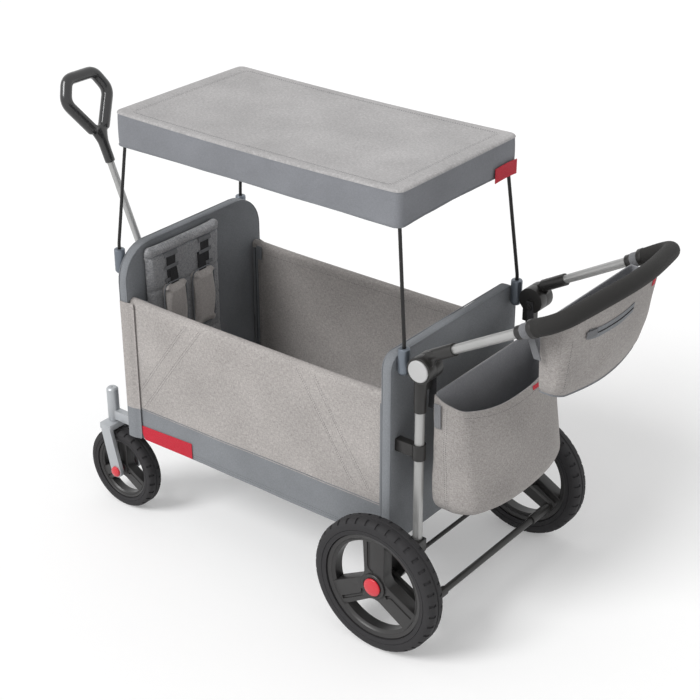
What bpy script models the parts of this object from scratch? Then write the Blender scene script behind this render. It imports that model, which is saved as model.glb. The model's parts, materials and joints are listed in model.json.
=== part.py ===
"""Folding push-and-pull wagon with a canopy, built as separate pieces in metres, +Z up.

+X runs along the length towards the push handle and the big wheels, -Y is the right-hand side,
z = 0 is the ground. Shapes are written in the tub's own frame, with x = 0 midway between the end
panels; the empty that carries everything moves that frame so that the whole wagon is centred on
the origin.
"""
from math import atan2, cos, pi, radians, sin, sqrt, tan

import bmesh
import bpy
from mathutils import Matrix, Vector

# Clearances
TOUCH = 0.0003
RUNNING = 0.0006
WORKING_GAP = 0.002

# Overall reach of the two handles from the tub's middle
PUSH_REACH = 0.833
PULL_REACH = 0.742
TUB_X = (PULL_REACH - PUSH_REACH) / 2

# Tub: two framed end panels, fabric sides between them
END_OUTER_X = 0.394
END_THICK = 0.026
END_HALF_WIDTH = 0.235
FRONT_TOP_Z = 0.705
REAR_TOP_Z = 0.675
FRONT_CORNER_R = 0.085
REAR_CORNER_R = 0.034
TUB_BOTTOM_Z = 0.2144
SIDE_TOP_Z = 0.583
SIDE_OUTER_Y = 0.227
SIDE_THICK = 0.023
FABRIC = 0.003
FRAME_R = 0.0095
FOOT_Z = 0.206
CROSS_PLATE_R = 0.0125
CROSS_PLATE_FOOT_R = 0.0115

# Floor halves and the side rails above them fold on hinges in line with each other
HINGE_X = 0.340
HINGE_Z = 0.228
FLOOR_HALF_WIDTH = 0.194
FLOOR_THICK = 0.012
BARREL_Y = 0.11
BARREL_HALF = 0.025
KNUCKLE_R = 0.005
KNUCKLE_PIN_R = 0.0025
PIN_HALF = 0.172
KNUCKLE_HALF = 0.037
REAR_KNUCKLES_Y = (-0.150, 0.0, 0.150)
FRONT_KNUCKLES_Y = (-0.075, 0.075)
HINGE_LEAF = 0.020
HINGE_LEAF_THICK = 0.0042
BARREL_WALL = 0.003
RAIL_Z = 0.5675
RAIL_R = 0.0078
RAIL_END = 0.024
TAB_R = 0.007
TAB_OVERLAP = 0.012
TAB_THICK = 0.003
PIVOT_PIN_R = 0.003

# Canopy on four rods
SOCKET_X = 0.4077
SOCKET_Y = 0.210
SOCKET_R = 0.013
SOCKET_DROP = 0.042
SOCKET_LENGTH = 0.060
ROD_R = 0.004
ROD_BEND_R = 0.10
ROD_CORNER_R = 0.016
CANOPY_HALF_LENGTH = 0.393
CANOPY_HALF_WIDTH = 0.210
CANOPY_TOP_Z = 1.028
CANOPY_DEPTH = 0.081
CANOPY_CORNER_R = 0.024
CANOPY_SAG = 0.012
HEM_BOW = 0.005
CORNER_SHARE = 0.65

# Rear wheels
REAR_AXLE_X = 0.407
REAR_R = 0.159
REAR_Y = 0.291
REAR_TYRE_WIDTH = 0.050
REAR_TYRE_DEPTH = 0.033
REAR_RIM_DEPTH = 0.020
REAR_HUB_R = 0.030
AXLE_R = 0.005
HUB_CAP_R = 0.021

# Front casters
STEM_X = -0.460
STEM_Y = 0.218
STEM_R = 0.006
HOUSING_R = 0.0145
HOUSING_BOTTOM_Z = 0.2270
HOUSING_TOP_Z = 0.316
TRAIL = 0.030
FRONT_R = 0.104
FRONT_TYRE_WIDTH = 0.042
FRONT_TYRE_DEPTH = 0.024
FRONT_RIM_DEPTH = 0.012
FRONT_HUB_R = 0.018
FORK_GAP = 0.0045
FORK_LEG = 0.010
CASTER_CAP_R = 0.0135
FORK_EYE_R = 0.0165
FORK_SHOULDER_R = 0.0155
CROWN_BACK = 0.016
CROWN_FRONT = 0.019
STEM_END_GAP = 0.010
CASTER_ARM_HALF_WIDTH = 0.009
CASTER_ARM_HALF_HEIGHT = 0.012
CASTER_ARM_Z = 0.245

# Push handle: posts, hubs, arms and a foam grip
POST_X = 0.4505
POST_Y = 0.210
POST_R = 0.0107
POST_BOTTOM_Z = 0.250
POST_TOP_Z = 0.600
SLEEVE_BOTTOM_Z = 0.560
SLEEVE_R = 0.0135
CLIP_Z0 = 0.447
CLIP_Z1 = 0.483
HUB_X = 0.460
HUB_Z = 0.665
HUB_R = 0.029
HUB_INNER_Y = 0.185
HUB_OUTER_Y = 0.232
BUTTON_R = 0.024
BUTTON_PROUD = 0.004
BUTTON_TRAVEL = 0.003
BUTTON_SEAT = 0.006
ARM_ANGLE = radians(29.5)
ARM_OFFSET = 0.020
ELBOW_END = 0.093
PUSH_BAR_R = 0.0103
GRIP_R = 0.0185
GRIP_CROWN_DEPTH = 0.0466
GRIP_SHOULDER_RISE = 0.062
GRIP_LEAD = 0.018
GRIP_HALF_WIDTH = 0.228
GRIP_CORNER_R = 0.045
GRIP_CROWN_R = 0.34
ARM_BEND_R = 0.12

# Pull handle: telescoping tube and a loop grip in the mid-plane
PULL_X = -0.414
PULL_Z = 0.252
PULL_LEAN = radians(23.0)
PULL_OUTER_R = 0.0112
PULL_BORE_R = 0.0092
PULL_INNER_R = 0.0087
PULL_INNER_LENGTH = 0.3425
PULL_OVERLAP = 0.085
PULL_TAIL = 0.009
LOOP_R = 0.0145
LOOP_HALF_WIDTH = 0.066
LOOP_HEIGHT = 0.135
NECK_LENGTH = 0.085
NECK_R = 0.0125
EAR_THICK = 0.004
BRACKET_THICK = 0.004

# Rear basket and the bag on the push handle
BASKET_BACK_X = 0.470
BASKET_TOP_X = 0.520
BASKET_LOW_X = 0.560
BASKET_BULGE = 0.042
BASKET_HALF_WIDTH = 0.192
BASKET_BOTTOM_Z = 0.318
BASKET_BACK_Z = 0.600
BASKET_FRONT_Z = 0.548
BASKET_CORNER_R = 0.022
BAG_WALL = 0.004
CONSOLE_HALF_WIDTH = 0.188
CONSOLE_NARROWING = 0.020
CONSOLE_RIM_IN = 0.133
CONSOLE_RIM_OUT = 0.061
CONSOLE_BULGE = 0.018
CONSOLE_FLOOR_IN = 0.141
CONSOLE_FLOOR_OUT = 0.091
CONSOLE_BOTTOM_Z = 0.652
CONSOLE_CORNER_R = 0.020
CONSOLE_LOOP_WIDTH = 0.018
CONSOLE_LOOP_WALL = 0.004
STRAP_THICK = 0.0025
STRAP_WIDTH = 0.018

# Brake
BRAKE_X = 0.500
BRAKE_Z = 0.115
BRAKE_BAR_R = 0.008
BRAKE_SLEEVE_R = 0.011
BRAKE_ARM_THICK = 0.008
BRAKE_ARM_Y = 0.249

# Seat back and shoulder pads
PAD_THICK = 0.014
SEAT_Y = -0.053
PAD_HALF_WIDTH = 0.131
PAD_BOTTOM_Z = 0.300
PAD_TOP_Z = 0.699
PAD_CORNER_R = 0.030
SHOULDER_Y = 0.048
SHOULDER_HALF_WIDTH = 0.038
SHOULDER_BOTTOM_Z = 0.440
SHOULDER_TOP_Z = 0.592
SHOULDER_THICK = 0.022

# Values that follow from those above
SOCKET_BOTTOM_Z = REAR_TOP_Z - SOCKET_DROP
SOCKET_TOP_Z = SOCKET_BOTTOM_Z + SOCKET_LENGTH
END_INNER_X = END_OUTER_X - END_THICK
END_MID_X = END_OUTER_X - END_THICK / 2
HOOP_Y = END_HALF_WIDTH - FABRIC - RUNNING - FRAME_R
SIDE_INNER_Y = SIDE_OUTER_Y - SIDE_THICK
SIDE_MID_Y = SIDE_OUTER_Y - SIDE_THICK / 2
HUB_SPLIT_Y = (HUB_INNER_Y + HUB_OUTER_Y) / 2
ARM_DIR = Vector((cos(ARM_ANGLE), 0, sin(ARM_ANGLE)))
ARM_UP = Vector((-sin(ARM_ANGLE), 0, cos(ARM_ANGLE)))
HUB = Vector((HUB_X, 0, HUB_Z))
ARM_FOOT = HUB + ARM_OFFSET * ARM_UP
GRIP_APEX = (PUSH_REACH - GRIP_R - ARM_FOOT.x) / cos(ARM_ANGLE)
GRIP_SHOULDER = GRIP_APEX - GRIP_CROWN_DEPTH
GRIP_BEND = GRIP_SHOULDER - GRIP_SHOULDER_RISE
GRIP_START = GRIP_BEND - GRIP_LEAD
CONSOLE_LOOP_END = GRIP_START - WORKING_GAP
CONSOLE_LOOP_START = CONSOLE_LOOP_END - CONSOLE_LOOP_WIDTH
CONSOLE_IN_X = PUSH_REACH - CONSOLE_RIM_IN
CONSOLE_OUT_X = PUSH_REACH - CONSOLE_RIM_OUT
CONSOLE_BOTTOM_IN_X = PUSH_REACH - CONSOLE_FLOOR_IN
CONSOLE_BOTTOM_OUT_X = PUSH_REACH - CONSOLE_FLOOR_OUT
PULL_DIR = Vector((-sin(PULL_LEAN), 0, cos(PULL_LEAN)))
PULL_FOOT = Vector((PULL_X, 0, PULL_Z))
NECK_START = (PULL_REACH - LOOP_R + PULL_X) / sin(PULL_LEAN) - LOOP_HEIGHT - NECK_LENGTH
PULL_INNER_START = NECK_START - PULL_INNER_LENGTH
PULL_OUTER_LENGTH = PULL_INNER_START + PULL_OVERLAP
FRONT_AXLE_X = STEM_X + TRAIL
CROWN_Z = 2 * FRONT_R + 0.0035
SIDES = ((1, "left"), (-1, "right"))
SHARP_ANGLE = radians(35)


def clear_scene():
    for thing in list(bpy.data.objects):
        bpy.data.objects.remove(thing, do_unlink=True)


def material(name, colour, roughness, metallic=0.0):
    made = bpy.data.materials.new(name)
    made.use_nodes = True
    shader = made.node_tree.nodes["Principled BSDF"]
    shader.inputs["Base Color"].default_value = (*colour, 1.0)
    shader.inputs["Roughness"].default_value = roughness
    shader.inputs["Metallic"].default_value = metallic
    return made


def pivot(name, place, parent=None):
    """An empty on a joint's axis. place is in the tub's frame."""
    empty = bpy.data.objects.new(name, None)
    bpy.context.scene.collection.objects.link(empty)
    empty["place"] = tuple(place)
    if parent is None:
        empty.location = (TUB_X, 0, 0)
    else:
        empty.parent = parent
        empty.location = Vector(place) - Vector(parent["place"])
    return empty


def new_object(name, bm):
    mesh = bpy.data.meshes.new(name)
    bmesh.ops.recalc_face_normals(bm, faces=bm.faces)
    bm.to_mesh(mesh)
    bm.free()
    made = bpy.data.objects.new(name, mesh)
    bpy.context.scene.collection.objects.link(made)
    return made


def apply_boolean(target, tool, operation):
    modifier = target.modifiers.new("join", "BOOLEAN")
    modifier.operation = operation
    modifier.object = tool
    evaluated = target.evaluated_get(bpy.context.evaluated_depsgraph_get())
    mesh = bpy.data.meshes.new_from_object(evaluated)
    target.modifiers.clear()
    target.data = mesh
    bpy.data.objects.remove(tool, do_unlink=True)


def piece(name, parent, look, solids, cuts=()):
    """Unites solids, takes cuts away and hangs the result on its body's empty."""
    made = new_object(name, solids[0])
    for solid in solids[1:]:
        apply_boolean(made, new_object(name + ".part", solid), "UNION")
    for cut in cuts:
        apply_boolean(made, new_object(name + ".cut", cut), "DIFFERENCE")
    return finish(made, parent, look)


def finish(made, parent, look):
    """Gives a mesh its material and its place under its body's empty."""
    mesh = made.data
    mesh.transform(Matrix.Translation(-Vector(parent["place"])))
    mesh.materials.clear()
    mesh.materials.append(look)
    mesh.shade_smooth()
    mesh.set_sharp_from_angle(angle=SHARP_ANGLE)
    made.parent = parent
    return made


def box(low, high):
    bm = bmesh.new()
    bmesh.ops.create_cube(bm, size=1.0)
    low, high = Vector(low), Vector(high)
    bmesh.ops.scale(bm, vec=high - low, verts=bm.verts)
    bmesh.ops.translate(bm, vec=(low + high) / 2, verts=bm.verts)
    return bm


def rings(loops, closed=False, caps=True):
    """Bridges a row of closed vertex loops, all with the same number of points."""
    bm = bmesh.new()
    rows = [[bm.verts.new(point) for point in loop] for loop in loops]
    count = len(rows[0])
    steps = len(rows) if closed else len(rows) - 1
    for i in range(steps):
        here, there = rows[i], rows[(i + 1) % len(rows)]
        for j in range(count):
            k = (j + 1) % count
            bm.faces.new((here[j], here[k], there[k], there[j]))
    if caps and not closed:
        bm.faces.new(rows[0])
        bm.faces.new(rows[-1])
    return bm


def prism(outline, axis, low, high):
    """Extrudes a 2-D outline along an axis; the outline holds the other two axes in order."""
    def place(point, along):
        a, b = point
        return {"x": (along, a, b), "y": (a, along, b), "z": (a, b, along)}[axis]
    return rings([[place(p, low) for p in outline], [place(p, high) for p in outline]])


def arc(centre, radius, start, end, steps):
    angles = [radians(start + (end - start) * i / steps) for i in range(steps + 1)]
    return [(centre[0] + radius * cos(a), centre[1] + radius * sin(a)) for a in angles]


def disc(centre, radius, axis, low, high, sides=24):
    return prism(arc(centre, radius, 0, 360 * (sides - 1) / sides, sides - 1), axis, low, high)


def hull_outline(circles, steps=8):
    """Outline round a chain of two circles, as a link or a fork leg has."""
    (ax, az, ar), (bx, bz, br) = circles
    along = atan2(bz - az, bx - ax)
    spread = pi / 2 - (br - ar) / sqrt((bx - ax) ** 2 + (bz - az) ** 2)
    heading, lean = along * 180 / pi, spread * 180 / pi
    near = arc((ax, az), ar, heading + 180 - (180 - lean), heading + 360 - lean, steps)
    far = arc((bx, bz), br, heading - lean, heading + lean, steps)
    return near + far


def turned(profile, centre, segments):
    """Turns a closed (radius, y) outline about a line along Y through centre (x, z)."""
    loops = []
    for i in range(segments):
        a = 2 * pi * i / segments
        loops.append([(centre[0] + r * cos(a), y, centre[1] + r * sin(a)) for r, y in profile])
    return rings(loops, closed=True)


def solid_turned(profile, centre, segments, axis="y"):
    """Turns an open (radius, along) outline into a solid whose two ends are capped flat."""
    loops = []
    for r, along in profile:
        ring = arc((0, 0), r, 0, 360 * (segments - 1) / segments, segments - 1)
        if axis == "y":
            loops.append([(centre[0] + a, along, centre[1] + b) for a, b in ring])
        else:
            loops.append([(centre[0] + a, centre[1] + b, along) for a, b in ring])
    return rings(loops)


def rounded(points, radii, steps=4):
    """Rounds the inner corners of a polyline of 3-D points."""
    points = [Vector(p) for p in points]
    path = [points[0]]
    for before, corner, after, radius in zip(points, points[1:], points[2:], radii):
        into, out = (before - corner).normalized(), (after - corner).normalized()
        half = into.angle(out) / 2
        reach = radius / tan(half)
        centre = corner + (into + out).normalized() * (radius / sin(half))
        first, last = corner + into * reach - centre, corner + out * reach - centre
        whole = first.angle(last)
        for i in range(steps + 1):
            t = i / steps
            a, b = sin((1 - t) * whole) / sin(whole), sin(t * whole) / sin(whole)
            path.append(centre + a * first + b * last)
    path.append(points[-1])
    return path


def tube(path, radius, sides=12, bore=0.0):
    """Sweeps a round section along a path; a bore makes it hollow, open at both ends."""
    path = [Vector(p) for p in path]
    heading = (path[1] - path[0]).normalized()
    across = heading.orthogonal().normalized()
    outer, inner = [], []
    for i, point in enumerate(path):
        before = (point - path[i - 1]).normalized() if i else heading
        after = (path[i + 1] - point).normalized() if i < len(path) - 1 else before
        tangent = (before + after).normalized()
        across = (across - across.dot(tangent) * tangent).normalized()
        up = tangent.cross(across)
        stretch = 1 / max(0.5, before.dot(tangent))
        bend = (after - before)
        bend = bend.normalized() if bend.length > 1e-6 else across
        ring = []
        for j in range(sides):
            a = 2 * pi * (j + 0.5) / sides
            offset = across * cos(a) + up * sin(a)
            offset += bend * (bend.dot(offset) * (stretch - 1))
            ring.append(offset)
        outer.append([point + radius * offset for offset in ring])
        inner.append([point + bore * offset for offset in ring])
    if bore:
        return rings(outer + inner[::-1], closed=True)
    return rings(outer)


def rounded_top(half_width, top, corner, bottom, steps=6):
    """Outline (y, z) of a panel with two rounded top corners and a flat bottom."""
    right = arc((half_width - corner, top - corner), corner, 0, 90, steps)
    left = arc((-half_width + corner, top - corner), corner, 90, 180, steps)
    return [(half_width, bottom)] + right + left + [(-half_width, bottom)]


def rounded_box_outline(half_length, half_width, corner, steps=5):
    """Plan outline (x, y) of a rounded rectangle with its long sides divided."""
    inner_x, inner_y = half_length - corner, half_width - corner
    outline = []
    for sx, sy, start in ((1, 1, 0), (-1, 1, 90), (-1, -1, 180), (1, -1, 270)):
        outline += arc((sx * inner_x, sy * inner_y), corner, start, start + 90, steps)
    return outline


def cushion(half_width, bottom, top, x_back, thick, corner, direction, columns=8, rows=12):
    """A crowned pad standing on a panel: flat back, swelling front, drawn-in sides."""
    def waist(v):
        return 1 - 0.04 * (1 - (2 * v - 1) ** 4)
    outline = []
    height = top - bottom
    for i in range(rows):
        outline.append((1, i / rows))
    for i in range(columns):
        outline.append((1 - 2 * i / columns, 1))
    for i in range(rows):
        outline.append((-1, 1 - i / rows))
    for i in range(columns):
        outline.append((-1 + 2 * i / columns, 0))

    def place(u, v, shrink, depth):
        cy, cz = u * half_width * waist(v), bottom + v * height
        square = Vector((cy, cz - (bottom + top) / 2))
        limit_y, limit_z = half_width - corner, height / 2 - corner
        over = Vector((max(0, abs(square.x) - limit_y), max(0, abs(square.y) - limit_z)))
        if over.x > 0 and over.y > 0:
            over = over * (corner / max(over.length, corner))
            square.x = (limit_y + over.x) * (1 if square.x > 0 else -1)
            square.y = (limit_z + over.y) * (1 if square.y > 0 else -1)
        square *= shrink
        return (x_back + direction * depth, square.x, square.y + (bottom + top) / 2)

    layers = ((0.97, 0.0), (1.0, 0.35), (0.985, 0.62), (0.90, 0.86), (0.70, 0.97), (0.40, 1.0))
    return rings([[place(u, v, shrink, depth * thick) for u, v in outline]
                  for shrink, depth in layers])


def bag_shell(outline_at, levels, wall):
    """A bag open at its top: outer loops from rim to floor, then the same loops drawn in."""
    outer = [outline_at(level, 0.0) for level in levels]
    inner = [outline_at(level, wall) for level in levels]
    floor_lift = Vector((0, 0, wall))
    inner = [[Vector(p) + (floor_lift if i == len(levels) - 1 else Vector()) for p in loop]
             for i, loop in enumerate(inner)]
    return rings(outer[::-1] + inner)


clear_scene()
SLATE = material("slate fabric", (0.10, 0.11, 0.12), 0.85)
HEATHER = material("heather fabric", (0.42, 0.40, 0.38), 0.9)
DARK_HEATHER = material("dark heather fabric", (0.13, 0.13, 0.13), 0.9)
SILVER = material("silver tube", (0.52, 0.52, 0.51), 0.35, 0.9)
GREY_CAST = material("grey casting", (0.34, 0.35, 0.36), 0.45, 0.6)
BLACK = material("black plastic", (0.028, 0.026, 0.026), 0.5)
STEEL = material("black steel", (0.02, 0.02, 0.02), 0.4, 0.7)
FOAM = material("foam grip", (0.033, 0.031, 0.03), 0.75)
RUBBER = material("tyre rubber", (0.03, 0.03, 0.032), 0.8)
RED = material("red plastic", (0.6, 0.01, 0.03), 0.35)
BOARD = material("floor board", (0.05, 0.05, 0.055), 0.8)

rear_frame = pivot("rear_frame_place", (0, 0, 0))
floor_rear_turn = pivot("floor_rear_turn", (HINGE_X, 0, HINGE_Z), rear_frame)
floor_front_turn = pivot("floor_front_turn", (0, 0, HINGE_Z), floor_rear_turn)
front_frame = pivot("front_frame_turn", (-HINGE_X, 0, HINGE_Z), floor_front_turn)
rails_rear_turn = pivot("rails_rear_turn", (HINGE_X, 0, RAIL_Z), rear_frame)
rails_front_turn = pivot("rails_front_turn", (-HINGE_X, 0, RAIL_Z), front_frame)
push_turn = pivot("push_handle_turn", HUB, rear_frame)
pull_turn = pivot("pull_handle_turn", PULL_FOOT, front_frame)
pull_slide = pivot("pull_handle_slide", PULL_FOOT, pull_turn)
brake_turn = pivot("brake_turn", (REAR_AXLE_X, 0, REAR_R), rear_frame)


def rail_bracket(end, side):
    """Plate welded to the hoop, with the pin that a side rail turns on."""
    near, far = SIDE_MID_Y - TAB_THICK - TOUCH / 2, SIDE_MID_Y - TOUCH / 2
    low, high = sorted((side * near, side * far))
    reach = sorted((end * (HINGE_X - TAB_R), end * (END_MID_X - FRAME_R / 2)))
    plate = box((reach[0], low, RAIL_Z - TAB_R), (reach[1], high, RAIL_Z + TAB_R))
    web_low, web_high = sorted((side * near, side * HOOP_Y))
    web_reach = sorted((end * (END_MID_X - FRAME_R - 0.004), end * (END_MID_X - FRAME_R / 2)))
    web = box((web_reach[0], web_low, RAIL_Z - TAB_R), (web_reach[1], web_high, RAIL_Z + TAB_R))
    pin_low, pin_high = sorted((side * (near + 0.001), side * (far + TAB_THICK + 2 * TOUCH)))
    pin = disc((end * HINGE_X, RAIL_Z), PIVOT_PIN_R, "y", pin_low, pin_high, 12)
    return [plate, web, pin]


def hoop_solids(end, top_z, corner_r, foot_z):
    x = end * END_MID_X
    hoop_top = top_z - FABRIC - RUNNING - FRAME_R
    bend = corner_r - FABRIC - FRAME_R
    path = rounded([(x, -HOOP_Y, foot_z), (x, -HOOP_Y, hoop_top), (x, HOOP_Y, hoop_top),
                    (x, HOOP_Y, foot_z)], (bend, bend), 5)
    solids = [tube(path, FRAME_R)]
    for side, _ in SIDES:
        solids += rail_bracket(end, side)
    return solids


def cross_tube_solids(end):
    """Tube that a floor half turns on, welded to the hoop by a plate at each end."""
    plate_in = HOOP_Y - FRAME_R - BRACKET_THICK
    solids = [disc((end * HINGE_X, HINGE_Z), FRAME_R, "y", -plate_in - 0.002, plate_in + 0.002, 16)]
    circles = sorted(((end * HINGE_X, HINGE_Z, CROSS_PLATE_R),
                      (end * (END_MID_X - 0.004), HINGE_Z, CROSS_PLATE_FOOT_R)))
    for side, _ in SIDES:
        low, high = sorted((side * plate_in, side * (HOOP_Y - FRAME_R / 2)))
        solids.append(prism(hull_outline(circles), "y", low, high))
    return solids


def cover_solids(end, top_z, corner_r):
    """Fabric envelope over a hoop, open below."""
    low, high = sorted((end * END_INNER_X, end * END_OUTER_X))
    return [prism(rounded_top(END_HALF_WIDTH, top_z, corner_r, TUB_BOTTOM_Z), "x", low, high)]


def cover_cuts(end, top_z, corner_r, caster_arms):
    inner_low, inner_high = sorted((end * (END_INNER_X + FABRIC), end * (END_OUTER_X - FABRIC)))
    inside = rounded_top(END_HALF_WIDTH - FABRIC, top_z - FABRIC, corner_r - FABRIC,
                         TUB_BOTTOM_Z - FABRIC)
    cuts = [prism(inside, "x", inner_low, inner_high)]
    wall_low, wall_high = sorted((end * (END_INNER_X - FABRIC), end * (END_INNER_X + 2 * FABRIC)))
    plate_in = HOOP_Y - FRAME_R - BRACKET_THICK - 2 * TOUCH
    for side, _ in SIDES:
        low, high = sorted((side * plate_in, side * HOOP_Y))
        plate_top = HINGE_Z + CROSS_PLATE_R + RUNNING
        cuts.append(box((wall_low, low, TUB_BOTTOM_Z - FABRIC), (wall_high, high, plate_top)))
        low, high = sorted((side * (SIDE_MID_Y - TAB_THICK - 3 * TOUCH), side * (HOOP_Y + 0.004)))
        tab_reach = TAB_R + RUNNING
        cuts.append(box((wall_low, low, RAIL_Z - tab_reach), (wall_high, high, RAIL_Z + tab_reach)))
        if caster_arms:
            low, high = sorted((side * (STEM_Y - CASTER_ARM_HALF_WIDTH - RUNNING),
                                side * (STEM_Y + CASTER_ARM_HALF_WIDTH + RUNNING)))
            face = sorted((end * (END_OUTER_X - 2 * FABRIC), end * (END_OUTER_X + FABRIC)))
            arm_top = CASTER_ARM_Z + CASTER_ARM_HALF_HEIGHT + TOUCH
            cuts.append(box((face[0], low, TUB_BOTTOM_Z - FABRIC), (face[1], high, arm_top)))
    return cuts


def socket_solid(end, side):
    """Cup that a canopy rod drops into."""
    profile = [(ROD_R + TOUCH, SOCKET_BOTTOM_Z + 0.008), (ROD_R + TOUCH, SOCKET_TOP_Z),
               (SOCKET_R - 0.002, SOCKET_TOP_Z), (SOCKET_R, SOCKET_TOP_Z - 0.002),
               (SOCKET_R, SOCKET_BOTTOM_Z + 0.006), (SOCKET_R - 0.004, SOCKET_BOTTOM_Z)]
    return solid_turned(profile, (end * SOCKET_X, side * SOCKET_Y), 12, "z")


CROSSBAR_X = CANOPY_HALF_LENGTH - CANOPY_CORNER_R * CORNER_SHARE - ROD_R
CROSSBAR_Y = CANOPY_HALF_WIDTH - CANOPY_CORNER_R * CORNER_SHARE - ROD_R
CROSSBAR_SAG = CANOPY_SAG * (1 - (CROSSBAR_X / CANOPY_HALF_LENGTH) ** 2)
CROSSBAR_Z = CANOPY_TOP_Z - FABRIC - CROSSBAR_SAG - ROD_R - 2 * TOUCH


def canopy_hoop(end):
    """Two rods and the bar between them under the canopy, bent from one length."""
    foot_z = SOCKET_BOTTOM_Z + 0.009
    bend_z = SOCKET_TOP_Z + 0.012
    path = [(end * SOCKET_X, -SOCKET_Y, foot_z), (end * SOCKET_X, -SOCKET_Y, bend_z),
            (end * CROSSBAR_X, -CROSSBAR_Y, CROSSBAR_Z), (end * CROSSBAR_X, CROSSBAR_Y, CROSSBAR_Z),
            (end * SOCKET_X, SOCKET_Y, bend_z), (end * SOCKET_X, SOCKET_Y, foot_z)]
    return tube(rounded(path, (ROD_BEND_R, ROD_CORNER_R, ROD_CORNER_R, ROD_BEND_R), 3), ROD_R, 8)


def canopy_outline(scale, inset=0.0):
    half_length = CANOPY_HALF_LENGTH * scale - inset
    half_width = CANOPY_HALF_WIDTH * scale - inset
    corner = CANOPY_CORNER_R * scale - inset
    corners = rounded_box_outline(half_length, half_width, corner, 4)
    outline = []
    for i, point in enumerate(corners):
        outline.append(point)
        if i % 5 == 4:
            after = corners[(i + 1) % len(corners)]
            for t in (0.25, 0.5, 0.75):
                outline.append(tuple(a + (b - a) * t for a, b in zip(point, after)))
    return outline


def canopy_solid():
    """One sheet drawn over the rods: sagging top, soft edge and a valance with a bowed hem."""
    edge_drop = 0.006
    scales = (0.06, 0.35, 0.65, 0.88, 0.985)

    def top_loop(scale, drop):
        z = CANOPY_TOP_Z - CANOPY_SAG * (1 - scale * scale) - drop
        return [(x, y, z) for x, y in canopy_outline(scale)]

    def side_loop(inset, drop):
        return [(x, y, CANOPY_TOP_Z - drop) for x, y in canopy_outline(1.0, inset)]

    def hem_loop(inset):
        loop = []
        for x, y in canopy_outline(1.0, inset):
            bow = min(1 - (x / CANOPY_HALF_LENGTH) ** 2, 1) + min(1 - (y / CANOPY_HALF_WIDTH) ** 2, 1)
            loop.append((x, y, CANOPY_TOP_Z - CANOPY_DEPTH + HEM_BOW * bow))
        return loop

    loops = [top_loop(scale, 0.0) for scale in scales]
    loops += [side_loop(0.0, edge_drop), hem_loop(0.0), hem_loop(FABRIC)]
    loops += [side_loop(FABRIC, edge_drop + FABRIC)]
    loops += [top_loop(scale, FABRIC) for scale in reversed(scales)]
    return rings(loops)


def side_panel_solid(side):
    """Fabric folded over a rail: outer wall to the hem, inner wall to the floor."""
    outer, inner = SIDE_OUTER_Y, SIDE_INNER_Y
    lining_z = HINGE_Z + FLOOR_THICK + 0.004
    top = [(outer, SIDE_TOP_Z - 0.006), (outer - 0.006, SIDE_TOP_Z), (inner + 0.006, SIDE_TOP_Z),
           (inner, SIDE_TOP_Z - 0.006)]
    outline = [(outer, TUB_BOTTOM_Z)] + top + [(inner, lining_z), (inner + FABRIC, lining_z)]
    outline += [(inner + FABRIC, SIDE_TOP_Z - 0.007), (inner + 0.007, SIDE_TOP_Z - FABRIC),
                (outer - 0.007, SIDE_TOP_Z - FABRIC), (outer - FABRIC, SIDE_TOP_Z - 0.007),
                (outer - FABRIC, TUB_BOTTOM_Z)]
    reach = END_INNER_X - TOUCH
    return prism([(side * y, z) for y, z in outline], "x", -reach, reach)


def build_end(end, name, parent, top_z, corner_r, foot_z):
    frame = hoop_solids(end, top_z, corner_r, foot_z) + cross_tube_solids(end)
    piece(name + "_end_frame", parent, STEEL, frame)
    piece(name + "_cover", parent, SLATE, cover_solids(end, top_z, corner_r),
          cover_cuts(end, top_z, corner_r, end < 0))
    for side, hand in SIDES:
        piece(f"{name}_rod_socket_{hand}", parent, GREY_CAST, [socket_solid(end, side)])
    piece(name + "_canopy_hoop", parent, STEEL, [canopy_hoop(end)])


build_end(1, "rear", rear_frame, REAR_TOP_Z, REAR_CORNER_R, FOOT_Z)
build_end(-1, "front", front_frame, FRONT_TOP_Z, FRONT_CORNER_R, HINGE_Z - 0.006)
piece("canopy_cover", rear_frame, HEATHER, [canopy_solid()])
for side, hand in SIDES:
    piece("side_panel_" + hand, rear_frame, HEATHER, [side_panel_solid(side)])


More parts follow.
